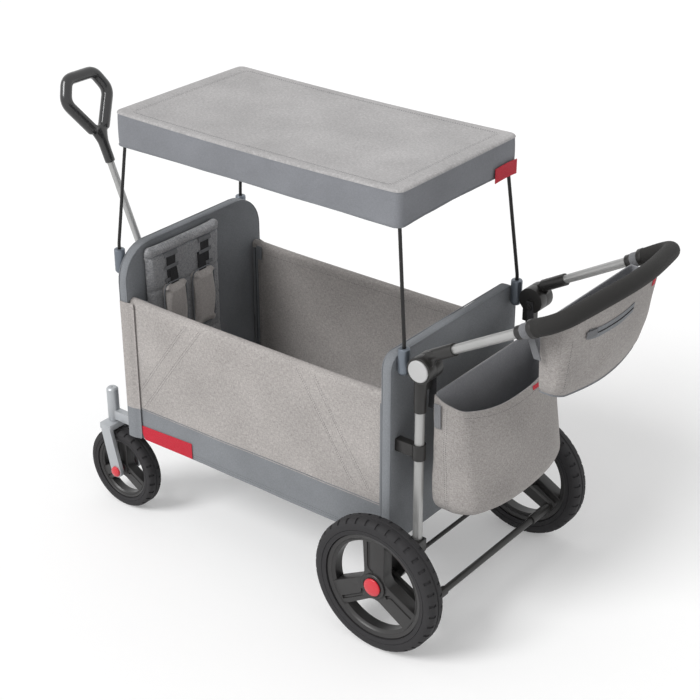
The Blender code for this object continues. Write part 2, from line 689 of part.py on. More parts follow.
def floor_half(end):
    """Board with hinge barrels round its cross tube and knuckles at the middle."""
    outer_r = FRAME_R + RUNNING + BARREL_WALL
    board_end = HINGE_X - outer_r - 0.0005
    knuckle_gap = KNUCKLE_R + 0.0015
    low, high = sorted((end * knuckle_gap, end * board_end))
    solids = [box((low, -FLOOR_HALF_WIDTH, HINGE_Z + TOUCH),
                  (high, FLOOR_HALF_WIDTH, HINGE_Z + FLOOR_THICK))]
    cuts = []
    for y in (-BARREL_Y, BARREL_Y):
        solids.append(disc((end * HINGE_X, HINGE_Z), outer_r, "y", y - BARREL_HALF, y + BARREL_HALF, 16))
        low, high = sorted((end * (board_end - HINGE_LEAF), end * (HINGE_X - outer_r + BARREL_WALL)))
        solids.append(box((low, y - BARREL_HALF + 0.001, HINGE_Z + 0.001),
                          (high, y + BARREL_HALF - 0.001, HINGE_Z + FLOOR_THICK - 0.004)))
        reach = BARREL_HALF + 0.015
        cuts.append(disc((end * HINGE_X, HINGE_Z), FRAME_R + RUNNING, "y", y - reach, y + reach, 16))
    for y in REAR_KNUCKLES_Y if end > 0 else FRONT_KNUCKLES_Y:
        solids.append(disc((0, HINGE_Z), KNUCKLE_R, "y", y - KNUCKLE_HALF, y + KNUCKLE_HALF, 12))
        low, high = sorted((end * KNUCKLE_R * 0.4, end * (knuckle_gap + HINGE_LEAF)))
        solids.append(box((low, y - KNUCKLE_HALF, HINGE_Z + 0.0005),
                          (high, y + KNUCKLE_HALF, HINGE_Z + HINGE_LEAF_THICK)))
        if end < 0:
            bore = KNUCKLE_PIN_R + RUNNING
            reach = KNUCKLE_HALF + 0.013
            cuts.append(disc((0, HINGE_Z), bore, "y", y - reach, y + reach, 12))
    return solids, cuts


rear_solids, rear_cuts = floor_half(1)
rear_solids.append(disc((0, HINGE_Z), KNUCKLE_PIN_R, "y", -PIN_HALF, PIN_HALF, 10))
piece("floor_rear", floor_rear_turn, BOARD, rear_solids, rear_cuts)
front_solids, front_cuts = floor_half(-1)
piece("floor_front", floor_front_turn, BOARD, front_solids, front_cuts)


def rail_solids(end, side):
    """Side rail half with a flat tab at each end, one hole at its hinge and one lap joint."""
    outer_tab = sorted((side * (SIDE_MID_Y + TOUCH / 2), side * (SIDE_MID_Y + TOUCH / 2 + TAB_THICK)))
    inner_tab = sorted((side * (SIDE_MID_Y - TOUCH / 2 - TAB_THICK), side * (SIDE_MID_Y - TOUCH / 2)))
    near, far = RAIL_END, HINGE_X - RAIL_END
    path = [(end * near, side * SIDE_MID_Y, RAIL_Z), (end * far, side * SIDE_MID_Y, RAIL_Z)]
    body = tube(path, RAIL_R, 10)
    hinge = sorted(((end * HINGE_X, RAIL_Z, TAB_R), (end * (far - TAB_OVERLAP), RAIL_Z, TAB_R - 0.0005)))
    middle = sorted(((0.0, RAIL_Z, TAB_R), (end * (near + TAB_OVERLAP), RAIL_Z, TAB_R - 0.0005)))
    middle_tab = outer_tab if end > 0 else inner_tab
    solids = [body, prism(hull_outline(hinge), "y", *outer_tab),
              prism(hull_outline(middle), "y", *middle_tab)]
    hole_r = PIVOT_PIN_R + RUNNING
    reach = sorted((side * (SIDE_MID_Y - 0.01), side * (SIDE_MID_Y + 0.01)))
    cuts = [disc((end * HINGE_X, RAIL_Z), hole_r, "y", *reach, 12)]
    if end > 0:
        cuts.append(disc((0.0, RAIL_Z), hole_r, "y", *reach, 12))
    else:
        pin = sorted((side * (SIDE_MID_Y - TAB_THICK / 2), side * (SIDE_MID_Y + TAB_THICK + 2 * TOUCH)))
        solids.append(disc((0.0, RAIL_Z), PIVOT_PIN_R, "y", *pin, 12))
    return solids, cuts


for end, name, parent in ((1, "rear", rails_rear_turn), (-1, "front", rails_front_turn)):
    for side, hand in SIDES:
        solids, cuts = rail_solids(end, side)
        piece(f"side_rail_{name}_{hand}", parent, STEEL, solids, cuts)

seat = cushion(PAD_HALF_WIDTH, PAD_BOTTOM_Z, PAD_TOP_Z, -END_INNER_X + TOUCH, PAD_THICK, PAD_CORNER_R, 1)
bmesh.ops.translate(seat, vec=(0, SEAT_Y, 0), verts=seat.verts)
piece("seat_back", front_frame, DARK_HEATHER, [seat])
for side, hand in SIDES:
    pad = cushion(SHOULDER_HALF_WIDTH, SHOULDER_BOTTOM_Z, SHOULDER_TOP_Z,
                  -END_INNER_X + PAD_THICK + 2 * TOUCH, SHOULDER_THICK, 0.014, 1, 4, 7)
    bmesh.ops.translate(pad, vec=(0, SEAT_Y + side * SHOULDER_Y, 0), verts=pad.verts)
    piece("shoulder_pad_" + hand, front_frame, HEATHER, [pad])


def tyre_solid(y, width, radius, depth, centre, segments):
    """Round-shouldered tyre with a flat tread, hollow only where the rim fills it."""
    half = width / 2
    shape = ((-0.58, 0.0), (-0.95, 0.35), (-1.0, 0.58), (-0.86, 0.86), (-0.35, 1.0),
             (0.35, 1.0), (0.86, 0.86), (1.0, 0.58), (0.95, 0.35), (0.58, 0.0))
    profile = [(radius - depth + depth * r, y + half * a) for a, r in shape]
    return turned(profile, centre, segments)


def spoked_rim(y, width, bead_r, rim_depth, hub_r, centre, spoke_r, segments):
    """Moulded wheel: a rim band, a hub and three broad spokes."""
    half = width / 2
    band_r = bead_r - rim_depth
    band = turned([(band_r, y - half), (bead_r, y - half), (bead_r, y + half), (band_r, y + half)],
                  centre, segments)
    hub = disc(centre, hub_r, "y", y - half * HUB_WIDER, y + half * HUB_WIDER, 16)
    solids = [band, hub]
    for k in range(SPOKES):
        a = FIRST_SPOKE + k * 2 * pi / SPOKES
        root = (hub_r - spoke_r * 0.75) if hub_r > spoke_r else hub_r * 0.45
        tip = band_r - spoke_r * 0.55
        inner = (centre[0] + root * cos(a), centre[1] + root * sin(a), spoke_r * 0.92)
        outer = (centre[0] + tip * cos(a), centre[1] + tip * sin(a), spoke_r)
        solids.append(prism(hull_outline((inner, outer), 5), "y", y - half * 0.55, y + half * 0.55))
    return solids


def dome(side, face_y, radius, height, centre, segments=16):
    """Domed cap on a flat back, its face pointing away from the wagon."""
    shape = ((1.0, 0.0), (1.0, 0.35), (0.88, 0.68), (0.60, 0.90), (0.25, 1.0))
    return solid_turned([(radius * r, face_y + side * height * h) for r, h in shape],
                        centre, segments)


REAR_CENTRE = (REAR_AXLE_X, REAR_R)
REAR_HALF = 0.018
REAR_SEGMENTS = 28
FRONT_SEGMENTS = 24
HUB_WIDER = 1.12
REAR_SPOKE_R = 0.025
FRONT_SPOKE_R = 0.014
SPOKES = 3
FIRST_SPOKE = radians(91)
for side, hand in SIDES:
    y = side * REAR_Y
    turn = pivot("rear_wheel_turn_" + hand, (REAR_AXLE_X, y, REAR_R), rear_frame)
    piece("rear_tyre_" + hand, turn, RUBBER,
          [tyre_solid(y, REAR_TYRE_WIDTH, REAR_R, REAR_TYRE_DEPTH, REAR_CENTRE, REAR_SEGMENTS)])
    bead_r = REAR_R - REAR_TYRE_DEPTH - TOUCH
    hub_half = REAR_HALF * HUB_WIDER
    bore = disc(REAR_CENTRE, AXLE_R + RUNNING, "y", y - 0.05, y + 0.05, 12)
    piece("rear_rim_" + hand, turn, BLACK,
          spoked_rim(y, 2 * REAR_HALF, bead_r, REAR_RIM_DEPTH, REAR_HUB_R, REAR_CENTRE,
                     REAR_SPOKE_R, REAR_SEGMENTS), [bore])
    piece("rear_hub_cap_" + hand, turn, RED,
          [dome(side, y + side * (hub_half + TOUCH), HUB_CAP_R, 0.007, REAR_CENTRE)])

axle_half = REAR_Y + REAR_HALF * HUB_WIDER
piece("rear_axle", rear_frame, STEEL, [disc(REAR_CENTRE, AXLE_R, "y", -axle_half, axle_half, 12)])

FRONT_HALF = 0.015
FRONT_CENTRE = (FRONT_AXLE_X, FRONT_R)
FORK_INNER = FRONT_TYRE_WIDTH / 2 + FORK_GAP
FORK_OUTER = FORK_INNER + FORK_LEG


def fork_solids(side):
    """Two legs down from a crown, and the stem that turns in the housing."""
    solids = []
    crown_top = HOUSING_BOTTOM_Z - TOUCH
    for across in (-1, 1):
        low, high = sorted((side * STEM_Y + across * FORK_INNER, side * STEM_Y + across * FORK_OUTER))
        circles = ((FRONT_AXLE_X, FRONT_R, FORK_EYE_R),
                   (STEM_X + 0.004, crown_top - FORK_SHOULDER_R - 0.0005, FORK_SHOULDER_R))
        solids.append(prism(hull_outline(circles), "y", low, high))
    solids.append(box((STEM_X - CROWN_BACK, side * STEM_Y - FORK_OUTER + 0.001, CROWN_Z),
                      (STEM_X + CROWN_FRONT, side * STEM_Y + FORK_OUTER - 0.001, crown_top)))
    solids.append(solid_turned([(STEM_R, CROWN_Z + 0.004), (STEM_R, HOUSING_TOP_Z - STEM_END_GAP)],
                               (STEM_X, side * STEM_Y), 16, "z"))
    return solids


def housing_solids(side):
    """Stem housing with the arm that carries it on the hoop's foot."""
    bore = STEM_R + TOUCH
    profile = [(bore, HOUSING_BOTTOM_Z), (HOUSING_R - 0.001, HOUSING_BOTTOM_Z),
               (HOUSING_R, HOUSING_BOTTOM_Z + 0.002), (HOUSING_R, HOUSING_TOP_Z - 0.004),
               (HOUSING_R - 0.004, HOUSING_TOP_Z), (0.002, HOUSING_TOP_Z),
               (0.002, HOUSING_TOP_Z - STEM_END_GAP + 0.001),
               (bore, HOUSING_TOP_Z - STEM_END_GAP + 0.001)]
    loops = []
    for i in range(16):
        a = 2 * pi * i / 16
        loops.append([(STEM_X + r * cos(a), side * STEM_Y + r * sin(a), z) for r, z in profile])
    arm = box((STEM_X + HOUSING_R - 0.003, side * STEM_Y - CASTER_ARM_HALF_WIDTH,
               CASTER_ARM_Z - CASTER_ARM_HALF_HEIGHT),
              (-END_MID_X - FRAME_R - TOUCH, side * STEM_Y + CASTER_ARM_HALF_WIDTH,
               CASTER_ARM_Z + CASTER_ARM_HALF_HEIGHT))
    return [rings(loops, closed=True), arm]


for side, hand in SIDES:
    y = side * STEM_Y
    piece("caster_housing_" + hand, front_frame, GREY_CAST, housing_solids(side))
    swivel = pivot("caster_swivel_" + hand, (STEM_X, y, HOUSING_BOTTOM_Z), front_frame)
    bolt_hole = disc(FRONT_CENTRE, AXLE_R + TOUCH, "y", y - 0.05, y + 0.05, 12)
    piece("caster_fork_" + hand, swivel, GREY_CAST, fork_solids(side), [bolt_hole])
    inner_end, outer_end = y - side * FORK_OUTER, y + side * (FORK_OUTER + 0.002)
    piece("caster_bolt_" + hand, swivel, RED,
          [disc(FRONT_CENTRE, AXLE_R, "y", *sorted((inner_end, outer_end)), 12),
           dome(side, y + side * (FORK_OUTER + TOUCH), CASTER_CAP_R, 0.007, FRONT_CENTRE, 16)])
    spin = pivot("front_wheel_turn_" + hand, (FRONT_AXLE_X, y, FRONT_R), swivel)
    piece("front_tyre_" + hand, spin, RUBBER,
          [tyre_solid(y, FRONT_TYRE_WIDTH, FRONT_R, FRONT_TYRE_DEPTH, FRONT_CENTRE, FRONT_SEGMENTS)])
    bead_r = FRONT_R - FRONT_TYRE_DEPTH - TOUCH
    bore = disc(FRONT_CENTRE, AXLE_R + RUNNING, "y", y - 0.05, y + 0.05, 12)
    piece("front_rim_" + hand, spin, BLACK,
          spoked_rim(y, 2 * FRONT_HALF, bead_r, FRONT_RIM_DEPTH, FRONT_HUB_R, FRONT_CENTRE,
                     FRONT_SPOKE_R, FRONT_SEGMENTS), [bore])


def arm_point(along, y=0.0, up=0.0):
    """A point in the push arms' plane, measured from under the hub."""
    return ARM_FOOT + along * ARM_DIR + up * ARM_UP + Vector((0, y, 0))


def push_bar_path(start, steps):
    """Centre line of the push handle's tube: two arms and a bowed crossbar."""
    peak = GRIP_APEX
    for _ in range(6):
        slope = atan2(peak - GRIP_SHOULDER, GRIP_HALF_WIDTH)
        peak = GRIP_APEX + GRIP_CROWN_R * (1 / cos(slope) - 1)
    corners = [arm_point(start, -POST_Y), arm_point(GRIP_BEND, -POST_Y),
               arm_point(GRIP_SHOULDER, -GRIP_HALF_WIDTH), arm_point(peak),
               arm_point(GRIP_SHOULDER, GRIP_HALF_WIDTH), arm_point(GRIP_BEND, POST_Y),
               arm_point(start, POST_Y)]
    radii = (ARM_BEND_R, GRIP_CORNER_R, GRIP_CROWN_R, GRIP_CORNER_R, ARM_BEND_R)
    return rounded(corners, radii, steps)


def trimmed(path, length):
    """The path with a length taken off each end."""
    ends = []
    for line in (path, path[::-1]):
        left = length
        for i in range(len(line) - 1):
            step = (line[i + 1] - line[i]).length
            if step >= left:
                ends.append((i, line[i].lerp(line[i + 1], left / step)))
                break
            left -= step
    first, last = ends
    return [first[1]] + path[first[0] + 1:len(path) - last[0] - 1] + [last[1]]


TUBE_SEAT = 0.046
ELBOW_START = HUB_R + 0.0012
bar_path = push_bar_path(TUBE_SEAT, 4)
piece("push_bar", push_turn, SILVER, [tube(bar_path, PUSH_BAR_R, 10)])
foam_path = trimmed(bar_path, GRIP_START - TUBE_SEAT)
piece("push_grip", push_turn, FOAM, [tube(foam_path, GRIP_R, 10, PUSH_BAR_R + TOUCH)])


def hub_base_solids(side):
    """Fixed half of the hub, with the sleeve that caps its post."""
    disc_y = sorted((side * HUB_INNER_Y, side * (HUB_SPLIT_Y - TOUCH)))
    neck_y = sorted((side * (HUB_INNER_Y + 0.003), side * (HUB_SPLIT_Y - 2 * TOUCH)))
    sleeve_top = HUB_Z - HUB_R - 0.0008
    centre = (POST_X, side * POST_Y)
    sleeve = solid_turned([(SLEEVE_R, SLEEVE_BOTTOM_Z), (SLEEVE_R, sleeve_top)], centre, 16, "z")
    neck = box((POST_X - SLEEVE_R * 0.8, neck_y[0], POST_TOP_Z + 0.012),
               (POST_X + SLEEVE_R * 0.95, neck_y[1], HUB_Z - HUB_R * 0.4))
    bore = solid_turned([(POST_R + TOUCH, SLEEVE_BOTTOM_Z - 0.01), (POST_R + TOUCH, POST_TOP_Z)],
                        centre, 16, "z")
    return [disc((HUB_X, HUB_Z), HUB_R, "y", *disc_y, 24), neck, sleeve], [bore]


def hub_arm_solids(side):
    """Turning half of the hub with the elbow that holds the push tube."""
    disc_y = sorted((side * HUB_SPLIT_Y, side * HUB_OUTER_Y))
    neck_y = sorted((side * (HUB_SPLIT_Y + TOUCH), side * (POST_Y + SLEEVE_R * 0.9)))
    root = arm_point(ELBOW_START + 0.006)
    neck = hull_outline(((HUB_X, HUB_Z, HUB_R * 0.7), (root.x, root.z, SLEEVE_R * 0.9)))
    elbow = tube([arm_point(ELBOW_START, side * POST_Y), arm_point(ELBOW_END, side * POST_Y)],
                 SLEEVE_R, 16)
    bore = tube([arm_point(TUBE_SEAT - TOUCH, side * POST_Y), arm_point(ELBOW_END + 0.01, side * POST_Y)],
                PUSH_BAR_R + TOUCH, 16)
    recess_y = sorted((side * (HUB_OUTER_Y - BUTTON_SEAT - BUTTON_TRAVEL - RUNNING),
                       side * (HUB_OUTER_Y + 0.01)))
    recess = disc((HUB_X, HUB_Z), BUTTON_R + RUNNING, "y", *recess_y, 24)
    return [disc((HUB_X, HUB_Z), HUB_R, "y", *disc_y, 24), prism(neck, "y", *neck_y), elbow], [bore, recess]


for side, hand in SIDES:
    y = side * POST_Y
    solids, cuts = hub_base_solids(side)
    piece("hub_base_" + hand, rear_frame, BLACK, solids, cuts)
    solids, cuts = hub_arm_solids(side)
    piece("hub_arm_" + hand, push_turn, BLACK, solids, cuts)
    press = pivot("hub_button_slide_" + hand, (HUB_X, side * HUB_OUTER_Y, HUB_Z), push_turn)
    low, high = side * (HUB_OUTER_Y - BUTTON_SEAT), side * (HUB_OUTER_Y + BUTTON_PROUD)
    piece("hub_button_" + hand, press, SILVER,
          [solid_turned([(BUTTON_R, low), (BUTTON_R, high - side * 0.0015),
                         (BUTTON_R - 0.0015, high)], (HUB_X, HUB_Z), 24)])

for side, hand in SIDES:
    ends = [(POST_R, POST_BOTTOM_Z + TOUCH), (POST_R, POST_TOP_Z - TOUCH)]
    piece("push_post_" + hand, rear_frame, SILVER,
          [solid_turned(ends, (POST_X, side * POST_Y), 16, "z")])


def clip_solid(side):
    """Ring round a post with a block that is screwed to the end panel."""
    collar_r = POST_R + 0.004
    y = side * POST_Y
    ring = solid_turned([(collar_r, CLIP_Z0), (collar_r, CLIP_Z1)], (POST_X, y), 16, "z")
    block = box((END_OUTER_X + TOUCH, y - 0.009, CLIP_Z0 + 0.004),
                (POST_X - POST_R - 0.001, y + 0.009, CLIP_Z1 - 0.004))
    bore = solid_turned([(POST_R + TOUCH, CLIP_Z0 - 0.01), (POST_R + TOUCH, CLIP_Z1 + 0.01)],
                        (POST_X, y), 16, "z")
    return [ring, block], [bore]


for side, hand in SIDES:
    solids, cuts = clip_solid(side)
    piece("post_clip_" + hand, rear_frame, BLACK, solids, cuts)


def axle_bracket_solid(side):
    """Cast leg that carries the axle below the hoop's foot and the push post."""
    low, high = sorted((side * (POST_Y - 0.012), side * (HOOP_Y + FRAME_R + 0.002)))
    foot_z = FOOT_Z - TOUCH
    lower = arc(REAR_CENTRE, 0.020, 180, 330, 8)
    outline = lower + [(POST_X + 0.016, POST_BOTTOM_Z - 0.03), (POST_X + 0.016, POST_BOTTOM_Z),
                       (POST_X - 0.015, POST_BOTTOM_Z), (POST_X - 0.020, foot_z),
                       (END_MID_X - 0.013, foot_z)]
    bore = disc(REAR_CENTRE, AXLE_R + TOUCH, "y", low - 0.01, high + 0.01, 12)
    return [prism(outline, "y", low, high)], [bore]


for side, hand in SIDES:
    solids, cuts = axle_bracket_solid(side)
    piece("axle_bracket_" + hand, rear_frame, BLACK, solids, cuts)

brake_end = BRAKE_ARM_Y + BRAKE_ARM_THICK / 2
brake = [tube([(BRAKE_X, -brake_end + 0.001, BRAKE_Z), (BRAKE_X, brake_end - 0.001, BRAKE_Z)],
              BRAKE_BAR_R, 12)]
brake_cuts = []
for side, _ in SIDES:
    low, high = sorted((side * (BRAKE_ARM_Y - BRAKE_ARM_THICK / 2), side * brake_end))
    links = ((REAR_AXLE_X, REAR_R, 0.013), (BRAKE_X, BRAKE_Z, 0.012))
    brake.append(prism(hull_outline(links), "y", low, high))
    sleeve_from, sleeve_to = side * (BRAKE_ARM_Y - 0.002), side * (BRAKE_ARM_Y - 0.075)
    brake.append(tube([(BRAKE_X, sleeve_from, BRAKE_Z), (BRAKE_X, sleeve_to, BRAKE_Z)],
                      BRAKE_SLEEVE_R, 14))
    brake_cuts.append(disc(REAR_CENTRE, AXLE_R + RUNNING, "y", low - 0.01, high + 0.01, 12))
piece("brake_bar", brake_turn, BLACK, brake, brake_cuts)


def pull_point(along, y=0.0, out=0.0):
    """A point in the pull handle's own frame: along it, across it and off its plane."""
    normal = Vector((cos(PULL_LEAN), 0, sin(PULL_LEAN)))
    return PULL_FOOT + along * PULL_DIR + Vector((0, y, 0)) + out * normal


EAR_Y = PULL_OUTER_R + RUNNING
bracket = [box((-END_OUTER_X - TOUCH - BRACKET_THICK, -0.028, PULL_Z - 0.026),
               (-END_OUTER_X - TOUCH, 0.028, PULL_Z + 0.026))]
for side, _ in SIDES:
    low, high = sorted((side * EAR_Y, side * (EAR_Y + EAR_THICK)))
    root_x = -END_OUTER_X - BRACKET_THICK / 2 - 0.0095
    bracket.append(prism(hull_outline(((PULL_X, PULL_Z, 0.0085), (root_x + 0.0075, PULL_Z, 0.0098))),
                         "y", low, high))
bracket.append(disc((PULL_X, PULL_Z), PIVOT_PIN_R, "y", -EAR_Y - EAR_THICK - 0.001,
                    EAR_Y + EAR_THICK + 0.001, 12))
bracket_trim = box((-END_OUTER_X - TOUCH, -0.05, PULL_Z - 0.05), (-END_OUTER_X + 0.02, 0.05, PULL_Z + 0.05))
piece("pull_bracket", front_frame, BLACK, bracket, [bracket_trim])

pin_hole = disc((PULL_X, PULL_Z), PIVOT_PIN_R + TOUCH, "y", -0.02, 0.02, 12)
piece("pull_tube_outer", pull_turn, SILVER,
      [tube([pull_point(-PULL_TAIL), pull_point(PULL_OUTER_LENGTH)], PULL_OUTER_R, 16, PULL_BORE_R)],
      [pin_hole])
piece("pull_tube_inner", pull_slide, SILVER,
      [tube([pull_point(PULL_INNER_START), pull_point(NECK_START - TOUCH)], PULL_INNER_R, 16)])


def pull_grip_solids():
    """Loop grip: a neck over the tube that spreads into a rounded three-sided ring."""
    neck_top = NECK_START + NECK_LENGTH
    loop_top = neck_top + LOOP_HEIGHT
    sections = ((0.0, NECK_R, NECK_R), (0.30, NECK_R, NECK_R), (0.62, 0.0135, 0.0125),
                (0.85, 0.021, 0.0122), (1.10, 0.031, 0.0112))
    loops = []
    for share, half_y, half_out in sections:
        ring = arc((0, 0), 1.0, 0, 337.5, 15)
        loops.append([pull_point(NECK_START + share * NECK_LENGTH, half_y * c, half_out * s)
                      for c, s in ring])
    leg_y = 0.0165
    corner_along = neck_top + LOOP_HEIGHT * 0.62
    points = [pull_point(neck_top, -leg_y), pull_point(corner_along, -LOOP_HALF_WIDTH - 0.004),
              pull_point(loop_top, -LOOP_HALF_WIDTH * 0.66), pull_point(loop_top, LOOP_HALF_WIDTH * 0.66),
              pull_point(corner_along, LOOP_HALF_WIDTH + 0.004), pull_point(neck_top, leg_y)]
    ring = tube(rounded(points, (0.030, 0.026, 0.026, 0.030), 4), LOOP_R, 12)
    return [rings(loops), ring]


piece("pull_grip", pull_slide, BLACK, pull_grip_solids())


def basket_rim_z(x):
    """The rim drops from the hubs at the back to the lip in front."""
    share = (x - BASKET_BACK_X) / (BASKET_TOP_X + BASKET_BULGE - BASKET_BACK_X)
    return BASKET_BACK_Z + (BASKET_FRONT_Z - BASKET_BACK_Z) * share


def basket_loop(level, inset):
    """One level of the basket, from its rim at 0 to its floor at 1."""
    tuck = BASKET_CORNER_R * max(0.0, (level - 0.90) / 0.10) ** 2
    half_width = BASKET_HALF_WIDTH - tuck - inset
    back = BASKET_BACK_X + tuck * 0.3 + inset
    side_front = BASKET_TOP_X + (BASKET_LOW_X - BASKET_TOP_X) * level - tuck - inset
    loop = []
    for i in range(17):
        u = i / 8 - 1
        round_off = BASKET_CORNER_R * max(0.0, (abs(u) - 0.875) / 0.125) ** 2
        x = side_front + BASKET_BULGE * cos(u * pi / 2) - round_off * 0.5
        loop.append((x, u * half_width))
    for i in range(9):
        loop.append((back, (1 - i / 4) * half_width))
    return [(x, y, basket_rim_z(x) * (1 - level) + BASKET_BOTTOM_Z * level) for x, y in loop]


BAG_LEVELS = (0.0, 0.25, 0.5, 0.75, 0.90, 0.96, 1.0)
basket = [bag_shell(basket_loop, BAG_LEVELS, BAG_WALL)]
for side, _ in SIDES:
    low, high = sorted((side * (HUB_INNER_Y - TOUCH - STRAP_THICK), side * (HUB_INNER_Y - TOUCH)))
    basket.append(box((BASKET_BACK_X - STRAP_WIDTH, low, BASKET_BACK_Z - 0.030),
                      (BASKET_BACK_X + BAG_WALL * 0.7, high, HUB_Z + 0.006)))
piece("rear_basket", rear_frame, HEATHER, basket)


def console_loop(level, inset):
    """One level of the bag under the push grip, from its rim at 0 to its floor at 1."""
    tuck = CONSOLE_CORNER_R * max(0.0, (level - 0.82) / 0.18) ** 2
    half_width = CONSOLE_HALF_WIDTH - CONSOLE_NARROWING * level - tuck - inset
    back = CONSOLE_IN_X + (CONSOLE_BOTTOM_IN_X - CONSOLE_IN_X) * level + tuck * 0.3 + inset
    front = CONSOLE_OUT_X + (CONSOLE_BOTTOM_OUT_X - CONSOLE_OUT_X) * level - tuck * 0.6 - inset
    loop = []
    for i in range(15):
        u = i / 7 - 1
        round_off = CONSOLE_CORNER_R * max(0.0, (abs(u) - 0.84) / 0.16) ** 2
        loop.append((front + CONSOLE_BULGE * cos(u * pi / 2) - round_off * 0.6, u * half_width))
    for i in range(9):
        loop.append((back, (1 - i / 4) * half_width))
    placed = []
    for x, y in loop:
        under_bar = ARM_FOOT.z + (x - ARM_FOOT.x) * tan(ARM_ANGLE) - GRIP_R / cos(ARM_ANGLE) - WORKING_GAP
        dip = 0.012 * (1 - (y / CONSOLE_HALF_WIDTH) ** 2) * level
        placed.append((x, y, under_bar * (1 - level) + (CONSOLE_BOTTOM_Z - dip) * level))
    return placed


console = [bag_shell(console_loop, BAG_LEVELS, BAG_WALL)]
for side, _ in SIDES:
    loop_r = PUSH_BAR_R + TOUCH
    ends = [arm_point(along, side * POST_Y) for along in (CONSOLE_LOOP_START, CONSOLE_LOOP_END)]
    console.append(tube(ends, loop_r + CONSOLE_LOOP_WALL, 14, loop_r))
    held = (ends[0] + ends[1]) / 2
    low, high = sorted((side * (CONSOLE_HALF_WIDTH - BAG_WALL + RUNNING), side * (POST_Y - loop_r - 0.001)))
    console.append(box((held.x - CONSOLE_LOOP_WALL, low, held.z - 0.034),
                       (CONSOLE_IN_X + BAG_WALL * 0.8, high, held.z)))
piece("console_bag", push_turn, HEATHER, console)
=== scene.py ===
"""Looks of the folding wagon: its finishes, sewn goods and small fittings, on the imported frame."""

import json
from math import atan2, cos, exp, pi, radians, sin, sqrt

import bpy
from mathutils import Matrix, Quaternion, Vector, noise
from mathutils.bvhtree import BVHTree

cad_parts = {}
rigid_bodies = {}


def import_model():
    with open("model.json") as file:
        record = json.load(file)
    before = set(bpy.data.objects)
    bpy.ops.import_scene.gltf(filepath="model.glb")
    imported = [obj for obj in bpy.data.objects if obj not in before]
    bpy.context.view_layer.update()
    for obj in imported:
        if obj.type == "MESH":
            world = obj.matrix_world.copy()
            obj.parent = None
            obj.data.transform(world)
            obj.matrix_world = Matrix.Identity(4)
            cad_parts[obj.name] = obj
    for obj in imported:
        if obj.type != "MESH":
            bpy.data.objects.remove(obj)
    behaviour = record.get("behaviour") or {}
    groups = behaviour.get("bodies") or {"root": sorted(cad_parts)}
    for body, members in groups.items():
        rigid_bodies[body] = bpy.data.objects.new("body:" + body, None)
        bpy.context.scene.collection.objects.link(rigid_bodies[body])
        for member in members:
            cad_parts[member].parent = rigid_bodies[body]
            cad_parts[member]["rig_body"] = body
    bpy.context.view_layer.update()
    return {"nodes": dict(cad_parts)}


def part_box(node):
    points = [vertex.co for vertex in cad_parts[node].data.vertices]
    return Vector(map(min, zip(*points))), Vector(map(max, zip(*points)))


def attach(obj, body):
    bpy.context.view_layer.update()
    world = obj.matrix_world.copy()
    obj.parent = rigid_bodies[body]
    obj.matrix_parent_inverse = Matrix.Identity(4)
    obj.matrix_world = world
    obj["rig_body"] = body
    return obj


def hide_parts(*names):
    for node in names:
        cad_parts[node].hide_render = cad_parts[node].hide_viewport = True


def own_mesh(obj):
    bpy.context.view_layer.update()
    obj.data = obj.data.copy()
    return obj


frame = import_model()

# The steel under the cloth: two bent hoops, the side rails that fold with the floor, the rear axle
# and the thin canopy rods. All are steel tube and rod with a satin black powder coat.
LEFT, RIGHT = 1, -1
HANDS = ((LEFT, "left"), (RIGHT, "right"))
TUB_X = (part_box("canopy_cover")[0][0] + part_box("canopy_cover")[1][0]) / 2
TONE_SPREAD = 0.12


def at(x, y, z):
    """A point measured from midway between the tub's ends, as the wagon is drawn."""
    return Vector((x + TUB_X, y, z))


def srgb(red, green, blue):
    """A colour as it is seen, 0 to 255, for a shader."""
    return (*((c / 255 / 12.92) if c < 11 else ((c / 255 + 0.055) / 1.055) ** 2.4
              for c in (red, green, blue)), 1.0)


def toned(colour, share):
    return [c * share for c in colour[:3]] + [1.0]


def node(tree, kind, inputs=None, **settings):
    made = tree.nodes.new("ShaderNode" + kind)
    for name, value in settings.items():
        setattr(made, name, value)
    for name, value in (inputs or {}).items():
        if isinstance(value, bpy.types.NodeSocket):
            tree.links.new(value, made.inputs[name])
        else:
            made.inputs[name].default_value = value
    return made


def maths(tree, operation, *values):
    return node(tree, "Math", dict(enumerate(values)), operation=operation).outputs[0]


def mixed(tree, share, a, b, blend="MIX"):
    return node(tree, "Mix", {"Factor": share, 6: a, 7: b}, data_type="RGBA", blend_type=blend).outputs[2]


def effect(name, inputs, outputs):
    """A node group with named sockets; returns the group, its input node and its output node."""
    group = bpy.data.node_groups.new(name, "ShaderNodeTree")
    for label, kind, value in inputs:
        socket = group.interface.new_socket(label, in_out="INPUT", socket_type="NodeSocket" + kind)
        if value is not None:
            socket.default_value = value
    for label, kind in outputs:
        group.interface.new_socket(label, in_out="OUTPUT", socket_type="NodeSocket" + kind)
    return group, group.nodes.new("NodeGroupInput"), group.nodes.new("NodeGroupOutput")


